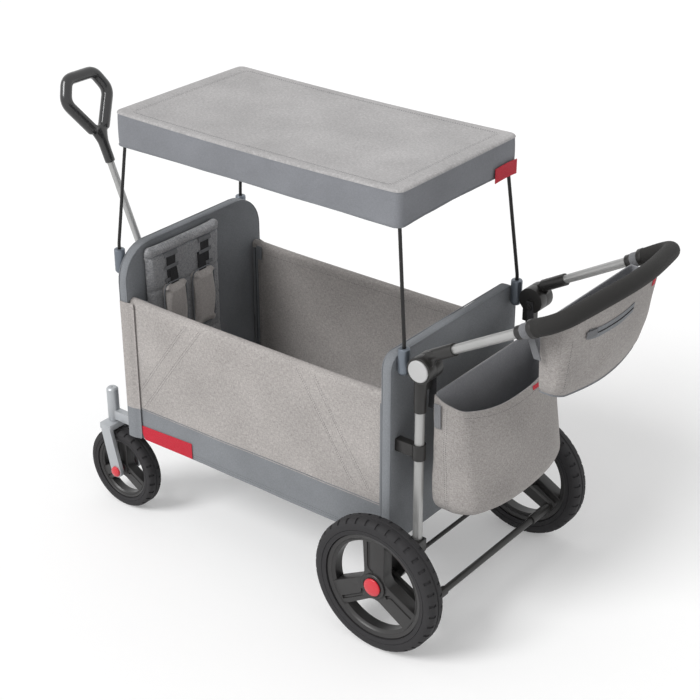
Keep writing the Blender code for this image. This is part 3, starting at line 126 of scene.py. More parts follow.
grain, grain_in, grain_out = effect(
    "Coat grain",
    [("Surface", "Vector", None), ("Grain Size", "Float", 900.0), ("Scuff Size", "Float", 40.0)],
    [("Height", "Float"), ("Tone", "Float"), ("Scuff", "Float")])
coat = grain_in.outputs["Surface"]
speck = node(grain, "TexNoise", {"Vector": coat, "Scale": grain_in.outputs["Grain Size"], "Detail": 2.0})
cloud = node(grain, "TexNoise", {"Vector": coat, "Scale": 14.0, "Detail": 3.0})
rub = node(grain, "TexNoise", {"Vector": coat, "Scale": grain_in.outputs["Scuff Size"], "Detail": 6.0,
                               "Roughness": 0.72, "Distortion": 0.6})
rub_edge = node(grain, "MapRange", {"Value": rub.outputs["Fac"], "From Min": 0.56, "From Max": 0.74})
for label, socket in (("Height", speck.outputs["Fac"]), ("Tone", cloud.outputs["Fac"]),
                      ("Scuff", rub_edge.outputs[0])):
    grain.links.new(socket, grain_out.inputs[label])


def blank_look(name):
    look = bpy.data.materials.new(name)
    look.use_nodes = True
    return look, look.node_tree, look.node_tree.nodes["Principled BSDF"]


def hard_look(name, colour, worn, rough, rough_worn, metallic=0.0, coat=0.0, grain_size=900.0,
              grain_depth=0.00006, scuff_size=40.0, wear=0.35):
    """Paint, anodising or moulded plastic: fine grain, slow change of tone and a few rubbed places."""
    look, tree, shader = blank_look(name)
    place = node(tree, "TexCoord").outputs["Object"]
    marks = node(tree, "Group", {"Surface": place, "Grain Size": grain_size, "Scuff Size": scuff_size},
                 node_tree=grain)
    share = maths(tree, "MULTIPLY", marks.outputs["Scuff"], wear)
    darker, lighter = toned(colour, 1 - TONE_SPREAD), toned(colour, 1 + TONE_SPREAD)
    tinted = mixed(tree, marks.outputs["Tone"], darker, lighter)
    tree.links.new(mixed(tree, share, tinted, worn), shader.inputs["Base Color"])
    roughness = node(tree, "MapRange", {"Value": share, "To Min": rough, "To Max": rough_worn})
    tree.links.new(roughness.outputs[0], shader.inputs["Roughness"])
    bump = node(tree, "Bump", {"Height": marks.outputs["Height"], "Distance": grain_depth, "Strength": 0.6})
    tree.links.new(bump.outputs["Normal"], shader.inputs["Normal"])
    shader.inputs["Metallic"].default_value = metallic
    shader.inputs["Coat Weight"].default_value = coat
    return look


def dress(look, *names):
    """Gives CAD nodes their finish."""
    for name in names:
        mesh = frame["nodes"][name].data
        mesh.materials.clear()
        mesh.materials.append(look)


def both(*names):
    return [f"{name}_{hand}" for name in names for _, hand in HANDS]


black_steel = hard_look("Black powder coat", srgb(22, 21, 21), srgb(46, 45, 45), 0.42, 0.6, metallic=0.2,
                        grain_size=1400.0, wear=0.25)
dress(black_steel, "rear_end_frame", "front_end_frame", "rear_canopy_hoop", "front_canopy_hoop", "rear_axle",
      *both("side_rail_rear", "side_rail_front"))

# The two end panels of the tub: padded slate cloth envelopes pulled down over the hoops, sewn shut
# along the top, with a slate binding round the rim of each face and a turned hem at the bottom.
SLATE = srgb(130, 133, 137)
END_OUTER, END_INNER, END_HALF = 0.394, 0.368, 0.235
END_MIDDLE, END_HALF_THICK = (END_OUTER + END_INNER) / 2, (END_OUTER - END_INNER) / 2
EDGE_TURN, FACE_STEPS = 0.007, 22
BINDING_IN, BINDING_R = 0.002, 0.0014
HEM_Z = 0.2144
SHADE_RANGE = 0.10
SEEN_FROM, SEEN_DEPTH = 0.05, 0.12
STITCH_LONG, STITCH_WIDE, STITCH_HIGH, STITCH_SUNK = 0.0034, 0.0010, 0.0005, 0.0001

yarn, yarn_in, yarn_out = effect(
    "Woven yarn", [("Surface", "Vector", None), ("Threads", "Float", 800.0), ("Fleck", "Float", 150.0)],
    [("Weave", "Float"), ("Fleck", "Float"), ("Shade", "Float"), ("Crease", "Float")])
cloth = yarn_in.outputs["Surface"]
ways = node(yarn, "SeparateXYZ", {0: cloth}).outputs
turns = maths(yarn, "MULTIPLY", yarn_in.outputs["Threads"], pi)
warp, weft = [maths(yarn, "SINE", maths(yarn, "MULTIPLY", ways[i], turns)) for i in (0, 1)]
weave = maths(yarn, "MULTIPLY_ADD", maths(yarn, "MULTIPLY", warp, weft), 0.5, 0.5)
flecks = []
for long_way in (0, 1):
    drawn = {2: float(long_way)}
    for i in (0, 1):
        scale = maths(yarn, "MULTIPLY", yarn_in.outputs["Fleck"], 1.0 if i == long_way else 3.4)
        drawn[i] = maths(yarn, "MULTIPLY", ways[i], scale)
    mottle = node(yarn, "TexNoise", {"Vector": node(yarn, "CombineXYZ", drawn).outputs[0], "Scale": 1.0,
                                     "Detail": 2.5, "Roughness": 0.62})
    flecks.append(maths(yarn, "SUBTRACT", mottle.outputs["Fac"], 0.12))
fleck = node(yarn, "MapRange", {"Value": maths(yarn, "MAXIMUM", *flecks), "From Min": 0.27, "From Max": 0.60})
shade = node(yarn, "TexNoise", {"Vector": cloth, "Scale": 7.0, "Detail": 4.0})
crease = node(yarn, "TexNoise", {"Vector": cloth, "Scale": 16.0, "Detail": 3.0, "Distortion": 0.8})
for label, socket in (("Weave", weave), ("Fleck", fleck.outputs[0]), ("Shade", shade.outputs["Fac"]),
                      ("Crease", crease.outputs["Fac"])):
    yarn.links.new(socket, yarn_out.inputs[label])


def cloth_look(name, dark, light, threads=800.0, fleck_size=150.0, crease_depth=0.0012, rough=0.92,
               lies="flat"):
    """Woven cloth: two tones of yarn, a fine weave in relief, soft creases and slow shading. The
    weave lies flat on a sewn sheet's UV map, solid through a small piece, or upright on a pad."""
    look, tree, shader = blank_look(name)
    place = node(tree, "UVMap").outputs["UV"] if lies == "flat" else node(tree, "TexCoord").outputs["Object"]
    if lies == "upright":
        place = node(tree, "Mapping", {"Vector": place, "Rotation": (0, radians(90), 0)}).outputs[0]
    woven = node(tree, "Group", {"Surface": place, "Threads": threads, "Fleck": fleck_size}, node_tree=yarn)
    tone = mixed(tree, woven.outputs["Fleck"], dark, light)
    slow = node(tree, "MapRange", {"Value": woven.outputs["Shade"], "From Min": 0.3, "From Max": 0.7,
                                   "To Min": 1 - SHADE_RANGE, "To Max": 1 + SHADE_RANGE}).outputs[0]
    grey = node(tree, "CombineColor", {0: slow, 1: slow, 2: slow})
    tree.links.new(mixed(tree, 1.0, tone, grey.outputs[0], "MULTIPLY"), shader.inputs["Base Color"])
    soft = node(tree, "Bump", {"Height": woven.outputs["Crease"], "Distance": crease_depth})
    relief = node(tree, "Bump", {"Height": woven.outputs["Weave"], "Distance": 0.0002,
                                 "Normal": soft.outputs[0]})
    tree.links.new(relief.outputs[0], shader.inputs["Normal"])
    for label, value in (("Roughness", rough), ("Sheen Weight", 0.12), ("Sheen Roughness", 0.5),
                         ("Specular IOR Level", 0.25)):
        shader.inputs[label].default_value = value
    return look


slate_cloth = cloth_look("Slate cloth", toned(SLATE, 0.86), toned(SLATE, 1.10), crease_depth=0.0022)
slate_trim = cloth_look("Slate binding", toned(SLATE, 0.80), toned(SLATE, 1.05), lies="solid",
                        crease_depth=0.0003)
dark_thread = cloth_look("Dark thread", srgb(60, 62, 66), srgb(92, 94, 98), lies="solid", crease_depth=0.0001,
                         threads=2400.0)


def only(made):
    bpy.ops.object.select_all(action="DESELECT")
    made.select_set(True)
    bpy.context.view_layer.objects.active = made
    return made


def finished(made, kind, **settings):
    """Adds a modifier and applies it."""
    step = made.modifiers.new("step", kind)
    for key, value in settings.items():
        setattr(step, key, value)
    only(made)
    bpy.ops.object.modifier_apply(modifier=step.name)
    return made


def fitted(piece, body, slot, stands_for=None):
    """Fixes a finished piece to its body and hides the node that it stands for. Its slot is not used."""
    if stands_for:
        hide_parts(stands_for)
    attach(piece, body)


def spaced(first, last, count):
    """Values at even steps from the first to the last, both with them."""
    return [first + (last - first) * i / count for i in range(count + 1)]


def sew(name, rows, look, closed=False, thick=0.0016, level=1, flat=None, zone=None, lined=None,
        capped=None):
    """A panel of cloth from rows of points. Its UV map holds each point's place on the flat cloth.
    Faces from row lined on take the second look, and capped closes the first row, or both."""
    count = len(rows[0])
    columns = count if closed else count - 1
    faces = []
    for r in range(len(rows) - 1):
        for c in range(columns):
            here, after = r * count + c, r * count + (c + 1) % count
            faces.append((here, after, after + count, here + count))
    rings = len(faces)
    if capped:
        faces.append(tuple(reversed(range(count))))
    if capped == "both":
        faces.append(tuple((len(rows) - 1) * count + c for c in range(count)))
    mesh = bpy.data.meshes.new(name)
    mesh.from_pydata([tuple(p) for row in rows for p in row], [], faces)
    along = []
    for row in rows:
        run = [0.0]
        for c in range(columns):
            run.append(run[-1] + (row[(c + 1) % count] - row[c]).length)
        along.append([u - run[-1] / 2 for u in run])
    down = [0.0]
    for upper, lower in zip(rows, rows[1:]):
        down.append(down[-1] + sum((a - b).length for a, b in zip(upper, lower)) / count)
    layer = mesh.uv_layers.new(name="UVMap")
    for face in mesh.polygons:
        if face.index >= rings:
            for loop, corner in zip(face.loop_indices, face.vertices):
                layer.data[loop].uv = mesh.vertices[corner].co.xy
            face.material_index = 1 if lined and face.index > rings else 0
            continue
        r, c = divmod(face.index, columns)
        if lined and r >= lined:
            face.material_index = 1
        for loop, (i, j) in zip(face.loop_indices, ((r, c), (r, c + 1), (r + 1, c + 1), (r + 1, c))):
            layer.data[loop].uv = flat(rows[i][j % count]) if flat else (along[i][j], down[i])
        if zone:
            face.material_index = zone(rows[r][c], rows[r + 1][c])
    made = bpy.data.objects.new(name, mesh)
    bpy.context.scene.collection.objects.link(made)
    for part in look if isinstance(look, list) else [look]:
        mesh.materials.append(part)
    middle = sum((v.co for v in mesh.vertices), Vector()) / len(mesh.vertices)
    if sum(f.normal.dot(f.center - middle) * f.area for f in mesh.polygons) < 0:
        mesh.flip_normals()
    if level:
        finished(made, "SUBSURF", levels=level, render_levels=level)
    finished(made, "SOLIDIFY", thickness=thick, offset=-1.0)
    bpy.ops.object.shade_smooth_by_angle(angle=radians(50))
    return made


def piping(name, path, radius, look, closed=False):
    """A cord sewn into a seam, or any other round rod or wire, along a path."""
    line = bpy.data.curves.new(name, "CURVE")
    line.dimensions = "3D"
    line.bevel_depth = radius
    line.bevel_resolution = 2
    line.use_fill_caps = not closed
    spline = line.splines.new("POLY")
    spline.points.add(len(path) - 1)
    for point, place in zip(spline.points, path):
        point.co = (*place, 1.0)
    spline.use_cyclic_u = closed
    made = bpy.data.objects.new(name, line)
    bpy.context.scene.collection.objects.link(made)
    only(made)
    bpy.ops.object.convert(target="MESH")
    made = bpy.context.object
    bpy.ops.object.shade_smooth()
    made.data.materials.clear()
    made.data.materials.append(look)
    return made


def surface_of(piece):
    return BVHTree.FromObject(piece, bpy.context.evaluated_depsgraph_get())


def evenly(path, pitch):
    """Points at an even pitch along a path, with the direction of the path at each."""
    spots, left = [], pitch / 2
    for a, b in zip(path, path[1:]):
        length = (b - a).length
        while left < length:
            spots.append((a.lerp(b, left / length), (b - a).normalized()))
            left += pitch
        left -= length
    return spots


def touched(piece, path, facing, pitch):
    """Places and normals on a piece under a path, seen from the side that facing points to, with
    the direction of the path at each."""
    tree, facing = surface_of(piece), Vector(facing)
    for spot, along in evenly(path, pitch):
        place, normal, _, _ = tree.ray_cast(spot + facing * SEEN_FROM, -facing, SEEN_DEPTH)
        if place is not None:
            yield place, normal, along


def laid_on(piece, path, facing, pitch, lift=0.0):
    """The path moved on to a piece's surface."""
    return [place + normal * lift for place, normal, _ in touched(piece, path, facing, pitch)]


def stitched(name, piece, paths, facing, pitch=0.0050):
    """Rows of stitches on a piece. paths are the seams; facing is the side that they are seen from."""
    verts, faces = [], []
    for path in paths:
        for place, normal, along in touched(piece, path, facing, pitch):
            if normal.dot(Vector(facing)) < 0:
                normal = -normal
            along = (along - along.dot(normal) * normal).normalized()
            side = normal.cross(along)
            first = len(verts)
            for x, share in ((-0.5, 0.4), (-0.2, 1.0), (0.2, 1.0), (0.5, 0.4)):
                for y, z in ((-0.5, 0.0), (0.0, share), (0.5, 0.0)):
                    verts.append(place + along * (x * STITCH_LONG) + side * (y * STITCH_WIDE * share)
                                 + normal * (z * STITCH_HIGH - STITCH_SUNK))
            for a in (first, first + 1, first + 3, first + 4, first + 6, first + 7):
                faces.append((a, a + 3, a + 4, a + 1))
    mesh = bpy.data.meshes.new(name)
    mesh.from_pydata(verts, [], faces)
    mesh.materials.append(dark_thread)
    made = bpy.data.objects.new(name, mesh)
    bpy.context.scene.collection.objects.link(made)
    return made


def wave(x, y, size, height, seed=0.0):
    """A soft, repeatable unevenness in cloth."""
    return height * noise.noise(Vector((x / size, y / size, seed)))


def envelope_level(half_width, half_thick):
    """One level of an envelope from above: two long faces, and two narrow ends with rounded corners."""
    turn = min(EDGE_TURN, half_thick)
    long, short = half_width - turn, half_thick - turn
    half = [(y, -half_thick) for y in spaced(-long, long, FACE_STEPS)]
    for a, way in ((-60, -1), (-30, -1), (0, 0), (30, 1), (60, 1)):
        half.append((long + turn * cos(radians(a)), turn * sin(radians(a)) + way * short))
    return half + [(-y, -x) for y, x in half]


def end_cover(name, end, top, corner):
    """The envelope over one hoop, and the bindings round its two faces."""
    middle, shoulder = end * END_MIDDLE, top - corner
    heights = spaced(HEM_Z, shoulder, 16)
    heights += [shoulder + corner * sin(radians(a)) for a in (15, 30, 45, 58, 68, 76, 82, 86, 89)]
    levels = [(z, END_HALF_THICK) for z in heights if z < top - EDGE_TURN]
    levels += [(top - EDGE_TURN + EDGE_TURN * sin(radians(a)),
                END_HALF_THICK - EDGE_TURN + EDGE_TURN * cos(radians(a))) for a in (0, 20, 40, 60, 80, 90)]
    levels += [(top + rise, (END_HALF_THICK - EDGE_TURN) * share)
               for rise, share in ((0.0001, 0.66), (0.0002, 0.33), (0.0003, 0.06))]
    rows = []
    for z, thick in levels:
        lift = min(1.0, max(0.0, z - shoulder) / corner)
        half_width = END_HALF - corner + corner * sqrt(max(0.0, 1 - lift * lift))
        row = []
        for y, x in envelope_level(half_width, thick):
            calm = min(1.0, (z - HEM_Z) / 0.05) * min(1.0, max(0.0, (half_width - abs(y)) / 0.05))
            fall = wave(y, z, 0.11, 0.0035, end) * calm - 0.0016 * calm * (abs(x) >= thick * 0.99)
            row.append(at(middle + x + fall * (1 if x > 0 else -1), y, z))
        rows.append(row)
    pieces = [sew(name, rows[::-1], slate_cloth, closed=True, thick=0.0018)]
    bend = corner - BINDING_IN
    for face in (1, -1):
        x = middle + face * (END_HALF_THICK - BINDING_IN)
        near = [at(x, -END_HALF + BINDING_IN, HEM_Z + 0.004)]
        near += [at(x, -END_HALF + corner - bend * cos(radians(a)), shoulder + bend * sin(radians(a)))
                 for a in range(0, 91, 10)]
        far = [Vector((p.x, -p.y, p.z)) for p in near[::-1]]
        rim = f"{name}_rim_{'outer' if face == end else 'inner'}"
        pieces.append(piping(rim, near + far, BINDING_R, slate_trim))
    return pieces


for end, where, top, corner, flat in ((1, "rear", 0.675, 0.034, (0.97, 0.475)),
                                      (-1, "front", 0.705, 0.085, (0.97, 0.505))):
    cover, *rims = end_cover(where + "_cover_cloth", end, top, corner)
    fitted(cover, where + "_frame", "slate_fabric", where + "_cover")
    for rim in rims:
        fitted(rim, where + "_frame", "slate_fabric")

# The sides of the tub: heather cloth doubled over each side rail, with a slate band along its foot,
# slanting double seams, a lap round the front cover's edge, and a zip on tape up the inside of the
# front corner.
HEATHER = srgb(178, 173, 170)
SIDE_OUT, SIDE_IN, SIDE_TOP, SIDE_SAG = 0.227, 0.204, 0.583, 0.004
SIDE_REACH, SIDE_PUFF, WALL_PUFF, LINING_PUFF = END_INNER - 0.0004, 0.0016, 0.0035, 0.0030
BAND_Z, BAND_RISE, LINING_FOOT_Z = 0.297, 0.012, 0.2445
FOLDED_SHARE = 0.389
SEAM_PAIR, HEM_PAIR, BAND_SEAM_R, SIDE_EDGE_R, ZIP_R = 0.0065, 0.006, 0.0011, 0.0024, 0.0013
SLANTS = (((-0.193, 0.566), (-0.372, 0.322)), ((-0.148, 0.566), (-0.341, 0.306)),
          ((0.135, 0.566), (0.290, 0.330)), ((0.177, 0.566), (0.332, 0.330)))
CORNER_TAPE_X, CORNER_TAPE_OFF = (-0.3645, -0.3605, -0.3565, -0.3520, -0.3490), 0.0016
LAP_AT = -0.37
LAP_SECTION = ((-0.3520, -0.0030), (-0.3570, -0.0028), (-0.3620, -0.0016), (-0.3680, 0.0010),
               (-0.3740, 0.0022), (-0.3810, 0.0022), (-0.3875, 0.0022), (-0.3910, 0.0022), (-0.3925, 0.0))
SIDE_TAG = (((-0.362, 0.250), (-0.190, 0.258)), ((-0.345, 0.2144), (-0.190, 0.217)))
heather_cloth = cloth_look("Heather cloth", toned(HEATHER, 0.66), toned(HEATHER, 1.16), fleck_size=120.0,
                           crease_depth=0.0016)
red_tape = cloth_look("Red woven tape", srgb(176, 20, 42), srgb(214, 38, 60), threads=1400.0,
                      fleck_size=500.0, crease_depth=0.0003, rough=0.7)


def band_top(x):
    return BAND_Z + BAND_RISE * min(1.0, max(0.0, (x + 0.4) / 0.65))


def side_rows(side):
    """From the outer hem up, over the rail and down the lining to the floor."""
    half = (SIDE_OUT - SIDE_IN) / 2
    steps = [("band", share) for share in spaced(0.0, 1.0, 2)]
    steps += [("wall", share) for share in spaced(0.0, 1.0, 12)[1:]]
    steps += [("fold", radians(a)) for a in (30, 60, 90, 120, 150)]
    steps += [("lining", share) for share in spaced(0.0, 1.0, 12)]
    rows = []
    for part, share in steps:
        row = []
        for x in spaced(-SIDE_REACH, SIDE_REACH, 48):
            taper = 1 - (x / SIDE_REACH) ** 4
            edge = SIDE_TOP - SIDE_SAG * taper - half
            if part == "band":
                y = SIDE_OUT + SIDE_PUFF * share * taper
                z = HEM_Z + (band_top(x) - HEM_Z) * share
            elif part == "wall":
                y = SIDE_OUT + (SIDE_PUFF + WALL_PUFF * sin(pi * share)) * taper
                z = band_top(x) + (edge - band_top(x)) * share
            elif part == "fold":
                y = (SIDE_OUT + SIDE_IN) / 2 + half * cos(share)
                z = edge + half * sin(share)
            else:
                y = SIDE_IN + LINING_PUFF * sin(pi * share) * taper
                z = edge - (edge - LINING_FOOT_Z) * share
            if part != "fold":
                y += wave(x, z, 0.13, 0.0022, side + (7 if part == "lining" else 0)) * taper
            row.append(at(x, side * y, z))
        rows.append(row)
    return rows


def pressed_together(piece, slot, anchor_x, keep):
    """Fixes a piece to the rear frame and gives it a mesh of its own."""
    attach(piece, "rear_frame")
    at(anchor_x, 0, 0)
    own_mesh(piece)


for side, hand in HANDS:
    out = Vector((0, side, 0))
    panel = sew("side_cloth_" + hand, side_rows(side), [heather_cloth, slate_cloth], zone=lambda p, q: int(
        abs(p.y) > SIDE_OUT - 0.006 and (p.z + q.z) / 2 < band_top(p.x - TUB_X)))
    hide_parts("side_panel_" + hand)
    bits = [panel]
    seam = [at(x, side * SIDE_OUT, band_top(x)) for x in spaced(-0.366, 0.366, 40)]
    bits.append(piping("band_seam_" + hand, laid_on(panel, seam, out, 0.02, 0.0004), BAND_SEAM_R, slate_trim))
    hem = [at(x, side * SIDE_OUT, HEM_Z + 0.008) for x in (-0.362, 0.362)]
    seams = [hem, [p + Vector((0, 0, HEM_PAIR)) for p in hem]]
    seams += [[at(x + shift, side * SIDE_OUT, z) for x, z in slant] for slant in SLANTS
              for shift in (0.0, SEAM_PAIR)]
    bits.append(stitched("side_stitches_" + hand, panel, seams, out))
    inside = [[at(x, side * SIDE_IN, z) for x in (-0.36, 0.36)] for z in (0.556, 0.262)]
    inside += [[at(x, side * SIDE_IN, z) for z in (0.55, 0.27)] for x in (-0.345, 0.345)]
    bits.append(stitched("lining_stitches_" + hand, panel, inside, -out))
    edge = [at(0.3642, side * SIDE_OUT, z) for z in spaced(HEM_Z, HEM_Z + 0.35, 30)]
    edge = [p + out * 0.0005 for p in laid_on(panel, edge, out, 0.012)]
    bits.append(piping("side_edge_rear_" + hand, edge, SIDE_EDGE_R, slate_trim))
    tree, rows = surface_of(panel), []
    for z in spaced(0.262, 0.567, 22):
        spots = [tree.ray_cast(at(x, 0, z), out, 0.4)[0] for x in CORNER_TAPE_X]
        rows.append([Vector((p.x, p.y - side * CORNER_TAPE_OFF, z)) for p in spots])
    bits.append(sew("corner_tape_" + hand, rows, slate_cloth, thick=0.0010, level=0))
    bits.append(piping("corner_zip_" + hand, [row[2] - out * 0.0008 for row in rows], ZIP_R, dark_thread))
    loop = [[at(x, side * (SIDE_IN - 0.0022 - 0.0016 * t), 0.574 - 0.034 * t)
             for x in (-0.352, -0.343, -0.334)] for t in (0.0, 0.5, 1.0)]
    bits.append(sew("corner_loop_" + hand, loop, slate_cloth, level=0))
    for piece in bits:
        pressed_together(piece, "heather_fabric", END_INNER, FOLDED_SHARE)

for side, hand in HANDS:
    band = band_top(LAP_AT)
    levels = [HEM_Z + (band - HEM_Z) * t for t in (0.0, 0.33, 0.66)] + spaced(band, SIDE_TOP - 0.008, 14)
    rows = [[at(x, side * (END_HALF + off), z) for x, off in LAP_SECTION] for z in levels]
    lap = sew("side_lap_" + hand, rows, [heather_cloth, slate_cloth], thick=0.0014,
              flat=lambda p: (p.x - TUB_X, p.z), zone=lambda p, q: int((p.z + q.z) / 2 < band_top(LAP_AT)))
    fitted(lap, "front_frame", "heather_fabric")

for side, hand in HANDS:
    edges = [[at(x, side * (SIDE_OUT + 0.0026), z) for x, z in zip(spaced(xa, xb, 12), spaced(za, zb, 12))]
             for (xa, za), (xb, zb) in SIDE_TAG]
    rows = [[p.lerp(q, t) for p, q in zip(*edges)] for t in (0, 0.33, 0.66, 1.0)]
    tag = sew("side_tag_" + hand, rows, red_tape, thick=0.0008, level=0)
    pressed_together(tag, "red_plastic", END_INNER, FOLDED_SHARE)

# The canopy: one heather sheet drawn over the rods, with a shallow valley and two rows of stitches
# inside its edge, and a slate valance sewn to it under a pale cord, which hangs to a corded hem.
CANOPY_LONG, CANOPY_WIDE, CANOPY_TOP, CANOPY_DEPTH = 0.393, 0.210, 1.028, 0.081
CANOPY_CORNER, VALLEY_AT, CANOPY_FOLDED = 0.018, 0.90, 0.43
EDGE_CORD_R, HEM_CORD_R = 0.0014, 0.0016
PALE_SLATE = srgb(150, 154, 158)
CANOPY_GREY, VALANCE_GREY = srgb(180, 178, 178), srgb(132, 134, 139)
canopy_heather = cloth_look("Canopy heather", toned(CANOPY_GREY, 0.72), toned(CANOPY_GREY, 1.14),
                            fleck_size=120.0, crease_depth=0.0016)
valance_slate = cloth_look("Valance slate", toned(VALANCE_GREY, 0.9), toned(VALANCE_GREY, 1.08),
                           crease_depth=0.0030)
pale_trim = cloth_look("Pale piping", toned(PALE_SLATE, 0.9), toned(PALE_SLATE, 1.1), lies="solid",
                       crease_depth=0.0003)


def canopy_loop(scale, corner):
    """A rounded rectangle seen from above, with its straight sides divided."""
    long, wide = CANOPY_LONG * scale, CANOPY_WIDE * scale
    corner = min(corner, wide * 0.98)
    bends = []
    for sx, sy, start in ((1, 1, 0), (-1, 1, 90), (-1, -1, 180), (1, -1, 270)):
        turns = [radians(a) for a in range(start, start + 91, 15)]
        bends.append([((long - corner) * sx + corner * cos(a), (wide - corner) * sy + corner * sin(a))
                      for a in turns])
    loop = []
    for bend, after in zip(bends, bends[1:] + bends[:1]):
        (xa, ya), (xb, yb) = bend[-1], after[0]
        loop += bend + list(zip(spaced(xa, xb, 12), spaced(ya, yb, 12)))[1:-1]
    return loop


def canopy_height(x, y, scale):
    """The sheet's height: it sags between the rods, droops to its edge and has a valley inside it."""
    sag = 0.011 * (1 - min(1.0, scale / VALLEY_AT) ** 3)
    valley = 0.0018 * max(0.0, 1 - abs(scale - VALLEY_AT) / 0.05)
    droop = 0.005 * (1 - (x / CANOPY_LONG) ** 2) * (abs(y) / CANOPY_WIDE) ** 2
    return CANOPY_TOP - sag - valley - droop + wave(x, y, 0.16, 0.003, 3.0) * (1 - scale ** 4)


def canopy_ring(scale, corner, height_scale, drop=0.0):
    return [at(x, y, canopy_height(x, y, height_scale) - drop) for x, y in canopy_loop(scale, corner)]


top_rows = [canopy_ring(s, (0.014 if s > 0.5 else 0.1) * s, s)
            for s in (0.10, 0.20, 0.32, 0.44, 0.56, 0.68, 0.78, 0.85, 0.88, 0.90, 0.92, 0.945, 0.97, 0.988)]
top_rows += [canopy_ring(0.997, 0.016, 1.0, 0.0015), canopy_ring(1.0, 0.017, 1.0, 0.0045)]
canopy_top = sew("canopy_top_cloth", top_rows, canopy_heather, closed=True, flat=lambda p: (p.x, p.y),
                 capped="first")
valance_rows = []
for drop in (0.004, 0.010, 0.022, 0.036, 0.050, 0.064, 0.074, 0.079):
    share, row = drop / CANOPY_DEPTH, []
    for x, y in canopy_loop(1.0, CANOPY_CORNER):
        bow = 0.006 * share * (2 - (x / CANOPY_LONG) ** 2 - (y / CANOPY_WIDE) ** 2)
        push = wave(x * 1.4 + y, drop, 0.05, 0.0028, 5.0) * share + 0.002 * sin(pi * share)
        away = Vector((x / CANOPY_LONG ** 2, y / CANOPY_WIDE ** 2, 0)).normalized()
        row.append(at(x, y, canopy_height(x, y, 1.0) - drop + bow) + away * push)
    valance_rows.append(row)
valance = sew("canopy_valance", valance_rows, valance_slate, closed=True)
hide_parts("canopy_cover")
edge_cord = piping("canopy_edge_cord", canopy_ring(1.0, CANOPY_CORNER, 1.0, 0.0042), EDGE_CORD_R, pale_trim,
                   closed=True)
ridge = [[at(x, y, CANOPY_TOP) for x, y in canopy_loop(s, 0.014)] for s in (VALLEY_AT, 0.912)]
top_stitches = stitched("canopy_top_stitches", canopy_top, [path + path[:1] for path in ridge], (0, 0, 1),
                        pitch=0.006)
hem_cord = piping("canopy_hem", [p + Vector((0, 0, 0.001)) for p in valance_rows[-1]], HEM_CORD_R, slate_trim,
                  closed=True)
tag_rows = [[at(CANOPY_LONG + 0.0062 + 0.0006 * sin(pi * u), 0.118 + 0.082 * u,
                0.977 - 0.033 * t + 0.002 * sin(pi * u)) for u in spaced(0.0, 1.0, 8)] for t in (0, 0.5, 1.0)]
canopy_tag = sew("canopy_tag", tag_rows, red_tape, thick=0.0012, level=0)
for piece, slot in ((canopy_top, "heather_fabric"), (valance, "slate_fabric"),
                    (edge_cord, "slate_fabric"), (top_stitches, "heather_fabric"),
                    (hem_cord, "slate_fabric"), (canopy_tag, "red_plastic")):
    pressed_together(piece, slot, END_OUTER, CANOPY_FOLDED)

# The big wheels: a soft moulded tyre with blocks cut into its shoulders and a groove round its tread,
# pressed on a charcoal rim with three broad spokes, each with a long groove, and a red cap on the hub.
REAR_AXLE_AT, REAR_WHEEL_R, REAR_WHEEL_WIDE = (0.407, 0.291, 0.159), 0.159, 0.050
REAR_TYRE_DEEP, REAR_RIM_DEEP, REAR_RIM_HALF, REAR_HUB_HALF = 0.033, 0.020, 0.018, 0.0202
REAR_HUB_R, REAR_SPOKE_HALF, REAR_FILLET, REAR_GROOVE_R = 0.030, 0.026, 0.030, 0.0042
REAR_BLOCKS, SEAT_FIT, NOTCH_DEEP, TREAD_LINE_DEEP = 36, 0.0003, 0.0026, 0.0016
FIRST_SPOKE, SPOKE_TURN, SPOKE_THICK = radians(91), 2 * pi / 3, 0.84
TYRE_STEPS = ((0.10, 0.12), (0.12, 0.07), (0.20, 0.03), (0.25, -0.01), (0.02, -0.03), (0.02, 0.03),
              (0.24, -0.04), (0.05, 0.0))
RIM_STEPS = ((0.12, 0.0010), (0.10, -0.0010), (0.30, -0.0015), (0.06, -0.0018), (0.34, -0.0030))
CAP_R, CAP_HIGH = 0.021, 0.0022
DOME_STEPS = ((0.06, 0.0008), (0.14, 0.0009), (0.25, 0.0007), (0.30, 0.0003))
tyre_rubber = hard_look("Tyre rubber", srgb(37, 36, 38), srgb(56, 55, 55), 0.78, 0.9, grain_size=1200.0,
                        grain_depth=0.0002, scuff_size=25.0, wear=0.35)
rim_plastic = hard_look("Charcoal wheel plastic", srgb(42, 41, 41), srgb(62, 60, 60), 0.38, 0.55,
                        grain_size=1500.0, grain_depth=0.00008, wear=0.35)
red_plastic = hard_look("Red plastic", srgb(206, 28, 46), srgb(222, 60, 74), 0.28, 0.45, coat=0.5,
                        grain_size=900.0, grain_depth=0.00002, wear=0.2)


def picked(made, faces=None, edges=None):
    """Enters edit mode with only those faces, or edges, selected for which the test is true."""
    bpy.ops.object.mode_set(mode="OBJECT")
    mesh = made.data
    for part in (mesh.vertices, mesh.edges, mesh.polygons):
        part.foreach_set("select", [False] * len(part))
    bpy.context.tool_settings.mesh_select_mode = (False, edges is not None, faces is not None)
    if faces:
        for face in mesh.polygons:
            face.select = faces(face.center, face.normal)
    else:
        for edge in mesh.edges:
            edge.select = edges(*(mesh.vertices[i].co for i in edge.vertices))
    bpy.ops.object.mode_set(mode="EDIT")


def is_end(centre, normal):
    return abs(normal.y) > 0.9


def stepped(made, faces, steps, inwards=1.0, outwards=1.0):
    """Insets the picked faces again and again; each step is how far inwards, and how far out."""
    picked(made, faces=faces)
    for inward, outward in steps:
        bpy.ops.mesh.inset(thickness=inward * inwards, depth=outward * outwards)


